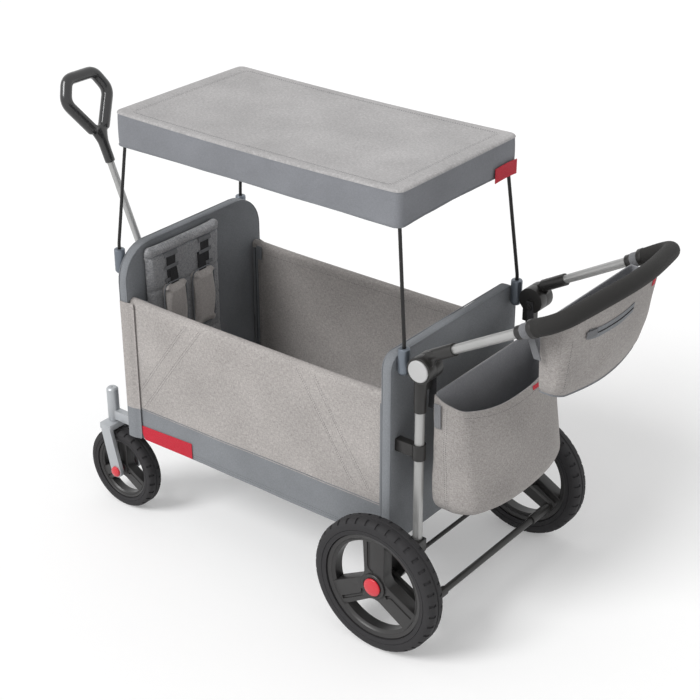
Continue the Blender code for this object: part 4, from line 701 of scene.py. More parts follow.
def round_blank(name, radius, length, sides):
    """A cylinder along Y, ready to be shaped."""
    bpy.ops.object.select_all(action="DESELECT")
    bpy.ops.mesh.primitive_cylinder_add(vertices=sides, radius=radius, depth=length, rotation=(pi / 2, 0, 0))
    made = bpy.context.object
    made.name = made.data.name = name
    bpy.ops.object.transform_apply(location=False, rotation=True, scale=False)
    return made


def opened(made):
    """Takes the two selected end faces away and joins their edges through the middle."""
    bpy.ops.mesh.delete(type="FACE")
    bpy.context.tool_settings.mesh_select_mode = (False, True, False)
    bpy.ops.mesh.select_all(action="DESELECT")
    bpy.ops.mesh.select_non_manifold()
    bpy.ops.mesh.bridge_edge_loops()
    bpy.ops.object.mode_set(mode="OBJECT")


def eased(made, width, segments, sharper_than):
    """Rounds the edges that are sharper than so many degrees."""
    return finished(made, "BEVEL", width=width, segments=segments, limit_method="ANGLE",
                    angle_limit=radians(sharper_than))


def smoothed(made, look, flat_from=35):
    only(made)
    bpy.ops.object.shade_smooth_by_angle(angle=radians(flat_from))
    made.data.materials.clear()
    made.data.materials.append(look)
    return made


def joined(first, *others):
    only(first)
    for other in others:
        other.select_set(True)
    bpy.ops.object.join()
    return first


def copied(made, name, move):
    """A copy with its own mesh, moved and turned in its mesh."""
    twin = bpy.data.objects.new(name, made.data.copy())
    bpy.context.scene.collection.objects.link(twin)
    twin.data.transform(move)
    return twin


def moulded_tyre(name, radius, depth, width, blocks):
    tyre = round_blank(name, radius, 0.56 * width, 4 * blocks)
    bpy.ops.object.mode_set(mode="EDIT")
    for y in (-0.16, -0.05, 0.05, 0.16):
        bpy.ops.mesh.select_all(action="SELECT")
        bpy.ops.mesh.bisect(plane_co=(0, y * width, 0), plane_no=(0, 1, 0))
    stepped(tyre, is_end, TYRE_STEPS, depth, width)
    opened(tyre)

    def in_notch(c, n):
        turn = int((atan2(c.z, c.x) % (2 * pi)) / (2 * pi) * 4 * blocks)
        outer = sqrt(c.x ** 2 + c.z ** 2) > radius - 0.24 * depth
        return outer and abs(c.y) > 0.16 * width and turn % 4 == (0 if c.y > 0 else 2)

    def in_tread_line(c, n):
        return abs(c.y) < 0.05 * width and n.dot(Vector((c.x, 0, c.z))) > 0
    stepped(tyre, in_notch, [(0.0005, -NOTCH_DEEP)])
    stepped(tyre, in_tread_line, [(0.0008, -TREAD_LINE_DEEP)])
    bpy.ops.object.mode_set(mode="OBJECT")
    return smoothed(tyre, tyre_rubber)


def spoke_point(k, along, across):
    """A place on a spoke: how far from the axle, and how far to its left."""
    turn = FIRST_SPOKE + k * SPOKE_TURN
    return along * cos(turn) - across * sin(turn), along * sin(turn) + across * cos(turn)


def moulded_rim(name, bead, depth, half, hub_r, hub_half, spoke_half, fillet, groove_r):
    """Band, three filleted spokes with their grooves, and hub."""
    band = round_blank(name, bead, 2 * half, 112)
    stepped(band, is_end, RIM_STEPS, depth)
    opened(band)
    tip, spoke_face = bead - 0.6 * depth, SPOKE_THICK * half
    outline = []
    for k in range(3):
        outline += [spoke_point(k, tip, across) for across in (-spoke_half * 1.12, spoke_half * 1.12)]
        reach = (spoke_half + fillet) / sin(pi / 3)
        turn = FIRST_SPOKE + (k + 0.5) * SPOKE_TURN
        for a in spaced(turn + pi + radians(30), turn + pi - radians(30), 8):
            outline.append((reach * cos(turn) + fillet * cos(a), reach * sin(turn) + fillet * sin(a)))
    bpy.ops.object.select_all(action="DESELECT")
    bpy.ops.mesh.primitive_circle_add(vertices=len(outline), radius=1.0, fill_type="NGON")
    star = bpy.context.object
    for corner, (x, z) in zip(star.data.vertices, outline):
        corner.co = (x, -spoke_face, z)
    bpy.ops.object.mode_set(mode="EDIT")
    bpy.ops.mesh.select_all(action="SELECT")
    bpy.ops.mesh.extrude_region_move(TRANSFORM_OT_translate={"value": (0, 2 * spoke_face, 0)})
    bpy.ops.mesh.select_all(action="SELECT")
    bpy.ops.mesh.normals_make_consistent(inside=False)
    bpy.ops.object.mode_set(mode="OBJECT")
    eased(star, 0.0018, 3, 40)
    inner = hub_r + 1.9 * groove_r
    line = [(tip * 0.94, 0.50), (inner + 2.2 * groove_r, 0.50), (inner + groove_r, 0.42), (inner, 0.22),
            (inner - 0.3 * groove_r, 0.02)]
    cutters = []
    for k in range(3):
        for face in (-1, 1):
            spots = [spoke_point(k, along, -face * share * spoke_half) for along, share in line]
            path = [Vector((x, face * spoke_face, z)) for x, z in spots]
            cutters.append(piping(f"groove_{k}_{face}", path, groove_r, rim_plastic))
    cutter = joined(*cutters)
    finished(star, "BOOLEAN", object=cutter, operation="DIFFERENCE", solver="EXACT")
    bpy.data.objects.remove(cutter)
    hub = round_blank(name + "_hub", hub_r, 2 * hub_half - 0.002, 48)
    stepped(hub, is_end, ((0.0010, 0.0010), (hub_r * 0.16, 0.0), (0.0006, -0.0012)))
    bpy.ops.object.mode_set(mode="OBJECT")
    return smoothed(joined(band, star, hub), rim_plastic)


def pressed_disc(name, place, out, radius, height, steps, look, sides):
    """A round part that stands on a face at place: its outer face is stepped in and up."""
    disc = round_blank(name, radius, height, sides)
    stepped(disc, lambda c, n: n.y > 0.9, steps)
    bpy.ops.object.mode_set(mode="OBJECT")
    turn = Vector((0, 1, 0)).rotation_difference(Vector(out)).to_matrix().to_4x4()
    disc.data.transform(Matrix.Translation(place) @ turn @ Matrix.Translation((0, height / 2, 0)))
    return smoothed(disc, look, 50)


def wheels(where, axle, tyre, rim):
    """Puts a tyre and its rim on the axle at each side, the left ones turned round."""
    for side, hand in HANDS:
        place = Matrix.Translation(at(axle[0], side * axle[1], axle[2]))
        if side > 0:
            place = place @ Matrix.Rotation(pi, 4, "Z")
        for model, kind, slot in ((tyre, "tyre", "tyre"), (rim, "rim", "black_plastic")):
            piece = copied(model, f"{where}_{kind}_moulded_{hand}", place)
            fitted(piece, f"{where}_wheel_{hand}", slot, f"{where}_{kind}_{hand}")
    bpy.data.objects.remove(tyre)
    bpy.data.objects.remove(rim)


wheels("rear", REAR_AXLE_AT,
       moulded_tyre("rear_tyre_model", REAR_WHEEL_R, REAR_TYRE_DEEP, REAR_WHEEL_WIDE, REAR_BLOCKS),
       moulded_rim("rear_rim_model", REAR_WHEEL_R - REAR_TYRE_DEEP - SEAT_FIT, REAR_RIM_DEEP, REAR_RIM_HALF,
                   REAR_HUB_R, REAR_HUB_HALF, REAR_SPOKE_HALF, REAR_FILLET, REAR_GROOVE_R))
cap_steps = [(0.0008, 0.0010)] + [(share * CAP_R, rise) for share, rise in DOME_STEPS]
for side, hand in HANDS:
    hub_face = at(REAR_AXLE_AT[0], side * (REAR_AXLE_AT[1] + REAR_HUB_HALF + SEAT_FIT), REAR_AXLE_AT[2])
    cap = pressed_disc("rear_cap_" + hand, hub_face, (0, side, 0), CAP_R, CAP_HIGH, cap_steps,
                       red_plastic, 56)
    fitted(cap, "rear_wheel_" + hand, "red_plastic", "rear_hub_cap_" + hand)

# The casters: a painted cast housing on the hoop's foot, a fork with rounded legs that turns under
# it, and a small wheel made like the big ones. Its bolt, with a red head, is dressed further down.
FRONT_AXLE_AT, FRONT_WHEEL_R, FRONT_WHEEL_WIDE = (-0.430, 0.218, 0.104), 0.104, 0.042
FRONT_TYRE_DEEP, FRONT_RIM_DEEP, FRONT_RIM_HALF, FRONT_HUB_HALF = 0.024, 0.012, 0.015, 0.0168
FRONT_HUB_R, FRONT_SPOKE_HALF, FRONT_FILLET, FRONT_GROOVE_R = 0.018, 0.0165, 0.017, 0.0026
FRONT_BLOCKS, CASTING_ROUND, WELD = 26, 0.0022, 0.00002
grey_casting = hard_look("Grey painted casting", srgb(176, 179, 182), srgb(200, 202, 204), 0.40, 0.52,
                         metallic=0.35, grain_size=1500.0, wear=0.25)


def from_frame(name, cleaned):
    """A copy of a node of the frame with its corners joined, cleaned by one more step of its own."""
    made = only(copied(frame["nodes"][name], name + "_finished", Matrix()))
    bpy.ops.object.mode_set(mode="EDIT")
    bpy.ops.mesh.select_all(action="SELECT")
    bpy.ops.mesh.remove_doubles(threshold=WELD)
    cleaned()
    bpy.ops.object.mode_set(mode="OBJECT")
    return made


def takes_over(made, name, look, slot, flat_from):
    """Smooths and paints a copy, and puts it in its node's place on the same body."""
    smoothed(made, look, flat_from)
    fitted(made, frame["nodes"][name]["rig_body"], slot, name)


def softened(names, width, look, slot):
    """Cast and moulded parts as in the frame, with their sharp edges rounded."""
    for name in names:
        made = from_frame(name, lambda: bpy.ops.mesh.dissolve_limited(angle_limit=radians(1)))
        takes_over(eased(made, width, 3, 32), name, look, slot, 40)


softened(both("caster_housing", "caster_fork"), CASTING_ROUND, grey_casting, "grey_casting")
wheels("front", FRONT_AXLE_AT,
       moulded_tyre("front_tyre_model", FRONT_WHEEL_R, FRONT_TYRE_DEEP, FRONT_WHEEL_WIDE, FRONT_BLOCKS),
       moulded_rim("front_rim_model", FRONT_WHEEL_R - FRONT_TYRE_DEEP - SEAT_FIT, FRONT_RIM_DEEP,
                   FRONT_RIM_HALF, FRONT_HUB_R, FRONT_HUB_HALF, FRONT_SPOKE_HALF, FRONT_FILLET,
                   FRONT_GROOVE_R))

# The rear basket: a heather cloth bag lined in slate, its heather painted darker than the tub's as
# painted shade on faces turned from the lamp. Two webbing straps with snaps hang it from the hubs, and
# double seams join its side gussets to the wide front.
BASKET_BACK, BASKET_FRONT, BASKET_SPREAD, BASKET_BULGE = 0.470, 0.520, 0.040, 0.042
BASKET_HALF, BASKET_FLOOR_Z, BASKET_BACK_Z, BASKET_LIP_Z = 0.192, 0.316, 0.600, 0.548
BASKET_CORNER, BASKET_FLAT, BASKET_LINED_IN = 0.024, 2.6, 0.0035
BASKET_SEAM, BASKET_SEAM_PAIR = ((0.498, 0.575), (0.509, 0.325)), 0.0055
HUB_PLACE, HUB_INNER_FACE = (0.460, 0.665), 0.185
STRAP_Y, STRAP_HALF, STRAP_THICK = HUB_INNER_FACE - 0.0035, 0.0085, 0.0018
SNAP_R, SNAP_HIGH, SNAP_Z = 0.0062, 0.0022, 0.652
SNAP_STEPS = ((0.0008, 0.0004), (0.0020, 0.0), (0.0005, -0.0008))
BAG_LEVELS = (0.0, 0.02, 0.05, 0.10, 0.18, 0.28, 0.38, 0.48, 0.58, 0.68, 0.78, 0.86, 0.90, 0.93, 0.96, 0.985,
              1.0)
FLOOR_SHARES = (0.12, 0.35, 0.60, 0.80, 0.92)
LINING_GREY = srgb(142, 143, 147)
lining_cloth = cloth_look("Slate lining", toned(LINING_GREY, 0.86), toned(LINING_GREY, 1.10),
                          crease_depth=0.0030)
# Painted shade: the tub's heather made darker for the basket and the console bag, standing in for the shade
# on their faces turned from the lamp.
bag_heather_painted_shade = cloth_look("Bag heather, painted shade", toned(HEATHER, 0.58), toned(HEATHER, 1.04), fleck_size=130.0,
                         crease_depth=0.0024)
black_plastic = hard_look("Black moulded plastic", srgb(33, 32, 31), srgb(50, 49, 48), 0.38, 0.52,
                          grain_size=1800.0, grain_depth=0.00008, wear=0.4)
webbing = cloth_look("Slate webbing", srgb(104, 105, 108), srgb(130, 131, 134), threads=1200.0,
                     fleck_size=700.0, lies="solid", crease_depth=0.0003)
black_webbing = cloth_look("Black webbing", srgb(34, 34, 36), srgb(56, 56, 58), threads=1200.0,
                           fleck_size=700.0, lies="solid", crease_depth=0.0003)


def bag_outline(front, back, half, steps, bulge, rounding, straight_to):
    """A bag from above: its bowed front with rounded corners, then its gussets and straight back."""
    loop = []
    for i in range(2 * steps + 1):
        u = i / steps - 1
        off = rounding * max(0.0, (abs(u) - straight_to) / (1 - straight_to)) ** 2.2
        loop.append((front + bulge(u) - off, u * half))
    corner = loop[-1][0]
    loop += [(x, half) for x in spaced(corner, back, 5)[1:]]
    loop += [(back, y) for y in spaced(half, -half, 16)[1:-1]]
    return loop + [(x, -half) for x in spaced(back, corner, 5)[:-1]]


def bag_rows(level_loop, middle, inset):
    """Rows from the middle of a bag's underside, up its walls, over its lip and down its lining."""
    low, low_in = level_loop(1.0, 0.0), level_loop(0.985, inset)
    rows = [[middle.lerp(p, s) + Vector((0, 0, -0.004 * (1 - s * s))) for p in low] for s in FLOOR_SHARES]
    rows += [level_loop(v, 0.0) for v in BAG_LEVELS[::-1]]
    rows.append([p + Vector((0, 0, 0.0016)) for p in level_loop(0.0, inset / 2)])
    rows += [level_loop(v, inset) for v in BAG_LEVELS if v < 0.98]
    rows += [[(middle + Vector((0, 0, inset))).lerp(p, s) for p in low_in] for s in FLOOR_SHARES[::-1]]
    return rows


def sewn_bag(name, level_loop, middle, inset):
    return sew(name, bag_rows(level_loop, middle, inset), [bag_heather_painted_shade, lining_cloth], closed=True,
               thick=0.0012, lined=len(FLOOR_SHARES) + len(BAG_LEVELS), capped="both")


def basket_level(level, inset):
    tuck = BASKET_CORNER * max(0.0, (level - 0.86) / 0.14) ** 2.4
    half = BASKET_HALF - tuck - inset
    back = BASKET_BACK + 0.3 * tuck + inset
    front = BASKET_FRONT + BASKET_SPREAD * level - tuck - inset
    soft = sin(pi * level)
    ring = []
    for x, y in bag_outline(front, back, half, 24, lambda u: BASKET_BULGE * (1 - abs(u) ** BASKET_FLAT),
                            BASKET_CORNER, 0.86):
        share = (x - BASKET_BACK) / (BASKET_FRONT + BASKET_BULGE - BASKET_BACK)
        rim = BASKET_BACK_Z + (BASKET_LIP_Z - BASKET_BACK_Z) * min(1.0, max(0.0, share))
        z = rim * (1 - level) + BASKET_FLOOR_Z * level
        out = 1 if y > 0 else -1
        x += (0.004 + wave(y, z, 0.10, 0.007, 11.0)) * soft * (1 if x > BASKET_BACK + 0.03 else 0.2)
        y += (0.003 + wave(x, z, 0.05, 0.008, 12.0)) * soft * out * min(1, abs(y) / half) ** 8
        ring.append(at(x, y, z))
    return ring


def patch(name, base, near_x, line, half, look, thick, lift=0.0006):
    """A tape on the rear of a piece. line is its middle, as (y, z), and half leads to its upper edge."""
    tree, rows = surface_of(base), []
    for share in (1, 0, -1):
        row = []
        for y, z in line:
            above = at(near_x + 0.12, y + share * half[0], z + share * half[1])
            spot, normal, _, _ = tree.ray_cast(above, Vector((-1, 0, 0)), 0.3)
            row.append(spot + normal * (lift + thick))
        rows.append(row)
    return sew(name, rows, look, thick=thick, level=0)


basket = sewn_bag("basket_cloth", basket_level, at(0.53, 0, BASKET_FLOOR_Z), BASKET_LINED_IN)
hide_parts("rear_basket")
basket_bits = [basket]
for side, hand in HANDS:
    run = [[at(x + shift, side * BASKET_HALF, z) for x, z in BASKET_SEAM]
           for shift in (0.0, BASKET_SEAM_PAIR)]
    basket_bits.append(stitched("basket_seam_" + hand, basket, run, (0, side, 0)))
    tab = [[at(x, side * (BASKET_HALF + 0.0055 - 0.002 * t), 0.583 - 0.056 * t)
            for x in (0.4775, 0.4850, 0.4935)] for t in spaced(0.0, 1.0, 4)]
    basket_bits.append(sew("basket_tab_" + hand, tab, webbing, thick=STRAP_THICK, level=0))
    strap = [[at(HUB_PLACE[0] + 0.008 * t + x, side * (STRAP_Y + 0.011 * t * t), 0.664 - 0.098 * t)
              for x in (-STRAP_HALF, 0.0, STRAP_HALF)] for t in spaced(0.0, 1.0, 8)]
    basket_bits.append(sew("basket_strap_" + hand, strap, black_webbing, thick=STRAP_THICK, level=0))
    snap_place = at(HUB_PLACE[0], side * (STRAP_Y - 0.0014), SNAP_Z)
    basket_bits.append(pressed_disc("basket_snap_" + hand, snap_place, (0, -side, 0), SNAP_R, SNAP_HIGH,
                                    SNAP_STEPS, black_plastic, 24))
hem = [at(BASKET_FRONT + BASKET_BULGE * (1 - abs(y / BASKET_HALF) ** BASKET_FLAT), y,
          BASKET_LIP_Z + 0.028 * (y / BASKET_HALF) ** 2 - 0.016) for y in spaced(-0.170, 0.170, 30)]
basket_bits.append(stitched("basket_hem_stitches", basket, [hem], (1, 0, 0)))
tag = [(y, 0.541 - 0.004 * (y - 0.063) / 0.067) for y in spaced(0.045, 0.115, 12)]
basket_bits.append(patch("basket_tag", basket, 0.60, tag, (0, 0.0045), red_tape, 0.0008))
for piece in basket_bits:
    fitted(piece, "rear_frame", "heather_fabric")

# The bag under the push grip: heather cloth with a slate lining, a slate cord round its floor and a
# binding round its lip, a zip pocket in its face, and straps that hold it to bands on the tube. Its
# heather is the basket's, painted darker than the tub's as painted shade.
ARM_RISE = radians(29.5)
PUSH_FAR, GRIP_THICK, TUBE_THICK, GRIP_LEG = 0.833, 0.0185, 0.0103, 0.1266
ARM_FROM = Vector((HUB_PLACE[0], 0, HUB_PLACE[1])) + 0.020 * Vector((-sin(ARM_RISE), 0, cos(ARM_RISE)))
GRIP_END = (PUSH_FAR - GRIP_THICK - ARM_FROM.x) / cos(ARM_RISE) - GRIP_LEG
ARM_Y = 0.210
CONSOLE_HALF, CONSOLE_FLOOR_Z, CONSOLE_NARROWS, CONSOLE_LINED_IN = 0.178, 0.660, 0.020, 0.0032
CONSOLE_BACK, CONSOLE_FRONT, CONSOLE_BULGE, CONSOLE_BACK_RISE = 0.133, 0.061, 0.018, 0.022
FACE_X, FLOOR_CORD_R, LIP_CORD_R, TEETH_R = 0.79, 0.0024, 0.0022, 0.0011
ZIP_FROM, ZIP_TO, ZIP_Z, ZIP_BOW = -0.120, 0.040, 0.795, 0.028


def on_arm(along, y):
    return at(ARM_FROM.x + along * cos(ARM_RISE), y, ARM_FROM.z + along * sin(ARM_RISE))


def console_level(level, inset):
    tuck = 0.014 * max(0.0, (level - 0.82) / 0.18) ** 2.2
    half = CONSOLE_HALF - CONSOLE_NARROWS * level - tuck - inset
    back = PUSH_FAR - CONSOLE_BACK - 0.008 * level + 0.3 * tuck + inset
    front = PUSH_FAR - CONSOLE_FRONT - 0.030 * level - 0.6 * tuck - inset
    soft = sin(pi * level)
    ring = []
    for x, y in bag_outline(front, back, half, 22, lambda u: CONSOLE_BULGE * cos(u * pi / 2), 0.016, 0.88):
        rim = ARM_FROM.z + ((x - ARM_FROM.x) * sin(ARM_RISE) - GRIP_THICK) / cos(ARM_RISE) - 0.002
        behind = min(1.0, max(0.0, 1 - (x - (PUSH_FAR - CONSOLE_BACK)) / 0.045))
        rim += CONSOLE_BACK_RISE * behind ** 1.5
        dip = 0.010 * (1 - (y / CONSOLE_HALF) ** 2) * level
        z = rim * (1 - level) + (CONSOLE_FLOOR_Z - dip) * level
        out = 1 if y > 0 else -1
        x += (0.003 + wave(y, z, 0.07, 0.006, 21.0)) * soft * (1 if x > PUSH_FAR - 0.11 else 0.3)
        y += wave(x, z, 0.05, 0.005, 22.0) * soft * out * min(1, abs(y) / half) ** 8
        ring.append(at(x, y, z))
    return ring


def sleeve(name, y, first, last, inner, outer, look, rounding=0.0008):
    """A short tube or band round the push handle's arm, between two places along it."""
    start, end = on_arm(first, y), on_arm(last, y)
    made = round_blank(name, outer, (end - start).length, 40)
    stepped(made, is_end, [(outer - inner, 0.0)])
    opened(made)
    eased(made, rounding, 2, 50)
    turn = Vector((0, 1, 0)).rotation_difference((end - start).normalized()).to_matrix().to_4x4()
    made.data.transform(Matrix.Translation((start + end) / 2) @ turn)
    return smoothed(made, look)


console = sewn_bag("console_cloth", console_level, at(PUSH_FAR - 0.115, 0, CONSOLE_FLOOR_Z - 0.008),
                   CONSOLE_LINED_IN)
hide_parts("console_bag")
floor_cord = [p + Vector((0, 0, 0.001)) for p in console_level(0.965, -0.0004)]
lip = console_level(0.01, 0.0008)
console_bits = [console, piping("console_floor_cord", floor_cord, FLOOR_CORD_R, slate_trim, closed=True),
                piping("console_lip_binding", lip, LIP_CORD_R, slate_trim, closed=True)]
for side, hand in HANDS:
    run = [[at(FACE_X, side * (0.160 - 0.012 * t), 0.800 - 0.135 * t) for t in (0, 1)]]
    console_bits.append(stitched("console_face_seam_" + hand, console, run, (1, 0, 0)))
bowed = [ZIP_Z + ZIP_BOW * (t - 0.5) ** 2 for t in spaced(0.0, 1.0, 20)]
zip_line = list(zip(spaced(ZIP_FROM, ZIP_TO, 20), bowed))
console_bits.append(patch("console_zip_tape", console, FACE_X, zip_line, (0, 0.0110), slate_trim, 0.0008))
teeth = laid_on(console, [at(FACE_X, y, z) for y, z in zip_line], (1, 0, 0), 0.004, 0.0020)
console_bits.append(piping("console_zip_teeth", teeth, TEETH_R, black_webbing))
pull = [(y, 0.8025) for y in spaced(-0.128, -0.098, 6)]
console_bits.append(patch("console_zip_pull", console, FACE_X, pull, (0, 0.0075), webbing, 0.0016, 0.0025))
tag = [(y, 0.819) for y in spaced(0.128, 0.144, 4)]
console_bits.append(patch("console_tag", console, FACE_X, tag, (0, 0.007), red_tape, 0.0008))
for side, hand in HANDS:
    console_bits.append(sleeve("console_band_" + hand, side * ARM_Y, GRIP_END - 0.020, GRIP_END - 0.003,
                               TUBE_THICK + 0.0004, TUBE_THICK + 0.0052, webbing))
    top, low = on_arm(GRIP_END - 0.0115, side * 0.2035), at(0.706, side * 0.1840, 0.752)
    strap = [[top.lerp(low, t) + Vector((x, 0, 0)) for x in (-0.008, 0, 0.008)] for t in spaced(0.0, 1.0, 4)]
    console_bits.append(sew("console_strap_" + hand, strap, webbing, thick=STRAP_THICK, level=0))
for piece in console_bits:
    fitted(piece, "push_handle", "heather_fabric")

# The push handle: a bent satin tube in two elbows, with a thick foam grip between black collars.
# The tube itself is dressed further down, with the other aluminium parts.
GRIP_SWELL, TUBE_SWELL = 0.0011, 0.0006
soft_foam = hard_look("Grip foam", srgb(33, 32, 31), srgb(47, 46, 45), 0.88, 0.95, grain_size=2600.0,
                      grain_depth=0.0003, wear=0.3)


def rounded_copy(name, swell, look, slot):
    """A round bar as in the frame, with its flats smoothed away and its width kept."""
    made = from_frame(name, lambda: bpy.ops.mesh.tris_convert_to_quads(face_threshold=radians(30),
                                                                       shape_threshold=radians(60)))
    finished(made, "SUBSURF", levels=2, render_levels=2)
    finished(made, "DISPLACE", strength=swell, mid_level=0.0)
    takes_over(made, name, look, slot, 60)


rounded_copy("push_grip", GRIP_SWELL, soft_foam, "foam")
for side, hand in HANDS:
    collar = sleeve("grip_collar_" + hand, side * ARM_Y, GRIP_END + 0.0004, GRIP_END + 0.011,
                    GRIP_THICK - 0.0005, GRIP_THICK + 0.0007, black_plastic, 0.0005)
    stop = sleeve("tube_collar_" + hand, side * ARM_Y, GRIP_END - 0.034, GRIP_END - 0.0205,
                  TUBE_THICK + 0.0003, TUBE_THICK + 0.0040, black_plastic)
    for piece in (collar, stop):
        fitted(piece, "push_handle", "black_plastic")

# The pull handle's grip: one moulded loop of glossy plastic. Its legs are melted into its neck, and
# its surface is drawn smooth.
GRIP_VOXEL = 0.0022
grip_plastic = hard_look("Glossy black plastic", srgb(36, 36, 37), srgb(50, 50, 51), 0.24, 0.36, coat=0.4,
                         grain_size=1500.0, grain_depth=0.00002, wear=0.2)
pull_loop = copied(frame["nodes"]["pull_grip"], "pull_grip_moulded", Matrix())
finished(pull_loop, "WELD", merge_threshold=WELD)
finished(pull_loop, "REMESH", mode="VOXEL", voxel_size=GRIP_VOXEL)
finished(pull_loop, "SMOOTH", factor=0.6, iterations=14)
finished(pull_loop, "DISPLACE", strength=0.0006, mid_level=0.0)
finished(pull_loop, "SUBSURF", levels=1, render_levels=1)
takes_over(pull_loop, "pull_grip", grip_plastic, "black_plastic", 70)

# The seat: a dark heather back pad on the front end panel with a rolled bolster along its top, two
# ladders of webbing for its harness, and two heather shoulder pads with slate piping. The pads' heather
# is painted lighter than the tub's, as painted light against the shade they sit in.
SEAT_FACE, SEAT_Y, SEAT_HALF, SEAT_LOW, SEAT_HIGH, SEAT_THICK = -0.3675, -0.053, 0.128, 0.302, 0.697, 0.012
BOLSTER_Z, CHANNELS_Z, BOLSTER_SEAM_R = 0.667, (0.420, 0.500, 0.580), 0.0011
PRESSURE, CLOTH_STEPS, PAD_ROUND = 4.0, 20, 0.45
SHOULDER_Y, SHOULDER_HALF, SHOULDER_LOW, SHOULDER_HIGH = 0.048, 0.036, 0.442, 0.590
LADDERS = (("right", -0.106), ("left", 0.010))
LADDER_HALF, BAR_HALF, BAR_HIGH, SHOULDER_PIPING_R = 0.0135, 0.021, 0.0042, 0.0019
seat_heather = cloth_look("Seat heather", srgb(124, 125, 128), srgb(178, 178, 180), fleck_size=130.0,
                          lies="upright", crease_depth=0.0024)
# Painted light: the tub's heather made lighter for the shoulder pads, to lift the shade that falls on them.
pad_heather_painted_light = cloth_look("Shoulder pad heather, painted light", toned(HEATHER, 0.90), toned(HEATHER, 1.34), fleck_size=140.0,
                         lies="upright", crease_depth=0.0012)


def plumped(pad, voxel, most, wall):
    """Blows a pad's cloth up a little, moves no point further than most, and keeps it off a wall."""
    finished(pad, "REMESH", mode="VOXEL", voxel_size=voxel)
    rest = [corner.co.copy() for corner in pad.data.vertices]
    scene = bpy.context.scene
    cloth = pad.modifiers.new("cloth", "CLOTH")
    cloth.settings.use_pressure = True
    cloth.settings.uniform_pressure_force = PRESSURE
    cloth.settings.effector_weights.gravity = 0.0
    cloth.point_cache.frame_start, cloth.point_cache.frame_end = 1, CLOTH_STEPS
    for step in range(1, CLOTH_STEPS + 1):
        scene.frame_set(step)
    only(pad)
    bpy.ops.object.modifier_apply(modifier=cloth.name)
    scene.frame_set(1)
    for corner, start in zip(pad.data.vertices, rest):
        move = corner.co - start
        if move.length > most:
            corner.co = start + move * (most / move.length)
    for corner in pad.data.vertices:
        corner.co.x = max(corner.co.x, wall)
    return finished(pad, "SUBSURF", levels=1, render_levels=1)


def pad_blank(name, low, high, rounding):
    """A slab from corner to corner with its edges rounded."""
    bpy.ops.object.select_all(action="DESELECT")
    middle, size = (low + high) / 2, high - low
    bpy.ops.mesh.primitive_cube_add(size=1.0, location=middle)
    pad = bpy.context.object
    pad.name = pad.data.name = name
    pad.scale = size
    bpy.ops.object.transform_apply(location=True, rotation=False, scale=True)
    picked(pad, edges=lambda a, b: abs(a.x - b.x) > size.x * 0.5)
    bpy.ops.mesh.bevel(offset=rounding, segments=6, affect="EDGES")
    stepped(pad, lambda c, n: n.x > 0.9, [(size.x * 0.55, 0.0)])
    bpy.ops.object.mode_set(mode="OBJECT")
    for corner in pad.data.vertices:
        beside = abs(corner.co.y - middle.y) > size.y / 2 - 0.0001
        above = abs(corner.co.z - middle.z) > size.z / 2 - 0.0001
        if corner.co.x > middle.x and (beside or above):
            corner.co.x -= size.x * PAD_ROUND
    return pad


def bell(distance, width):
    """1 in the middle of a sewn channel, and next to nothing beyond its width."""
    return exp(-(distance / width) ** 2)


seat = pad_blank("seat_pad", at(SEAT_FACE, SEAT_Y - SEAT_HALF, SEAT_LOW),
                 at(SEAT_FACE + SEAT_THICK, SEAT_Y + SEAT_HALF, SEAT_HIGH), 0.018)
plumped(seat, 0.0045, 0.007, TUB_X + SEAT_FACE)
bolster_middle = (BOLSTER_Z + SEAT_HIGH) / 2
for corner in seat.data.vertices:
    x, y, z = corner.co
    if x > TUB_X + SEAT_FACE + 0.004:
        seam = 0.0040 * bell(z - BOLSTER_Z + 0.10 * (y - SEAT_Y) ** 2, 0.0035)
        roll = 0.0030 * max(0.0, 1 - ((z - bolster_middle) / 0.017) ** 2) if z > BOLSTER_Z else 0.0
        quilt = 0.0030 * sum(bell(z - line, 0.0045) for line in CHANNELS_Z)
        corner.co.x = max(TUB_X + SEAT_FACE, x - seam - quilt + roll + wave(y, z, 0.05, 0.0022, 31.0))
smoothed(seat, seat_heather, 70)
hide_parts("seat_back")
across = [at(SEAT_FACE + 0.01, y, BOLSTER_Z - 0.001) for y in spaced(SEAT_Y - 0.120, SEAT_Y + 0.120, 24)]
across = laid_on(seat, across, (1, 0, 0), 0.006, 0.0002)
seat_bits = [seat, piping("seat_bolster_seam", across, BOLSTER_SEAM_R, slate_trim)]
for hand, y in LADDERS:
    column = [(y, z) for z in spaced(0.662, 0.588, 10)]
    seat_bits.append(patch("harness_slot_" + hand, seat, SEAT_FACE, column, (-LADDER_HALF, 0), black_webbing,
                           0.0012))
    for k, z in enumerate((0.660, 0.630, 0.598)):
        bar = [(across_bar, z) for across_bar in spaced(y - BAR_HALF, y + BAR_HALF, 6)]
        seat_bits.append(patch(f"harness_bar_{k}_{hand}", seat, SEAT_FACE, bar, (0, BAR_HIGH), webbing,
                               0.0022, lift=0.0012))
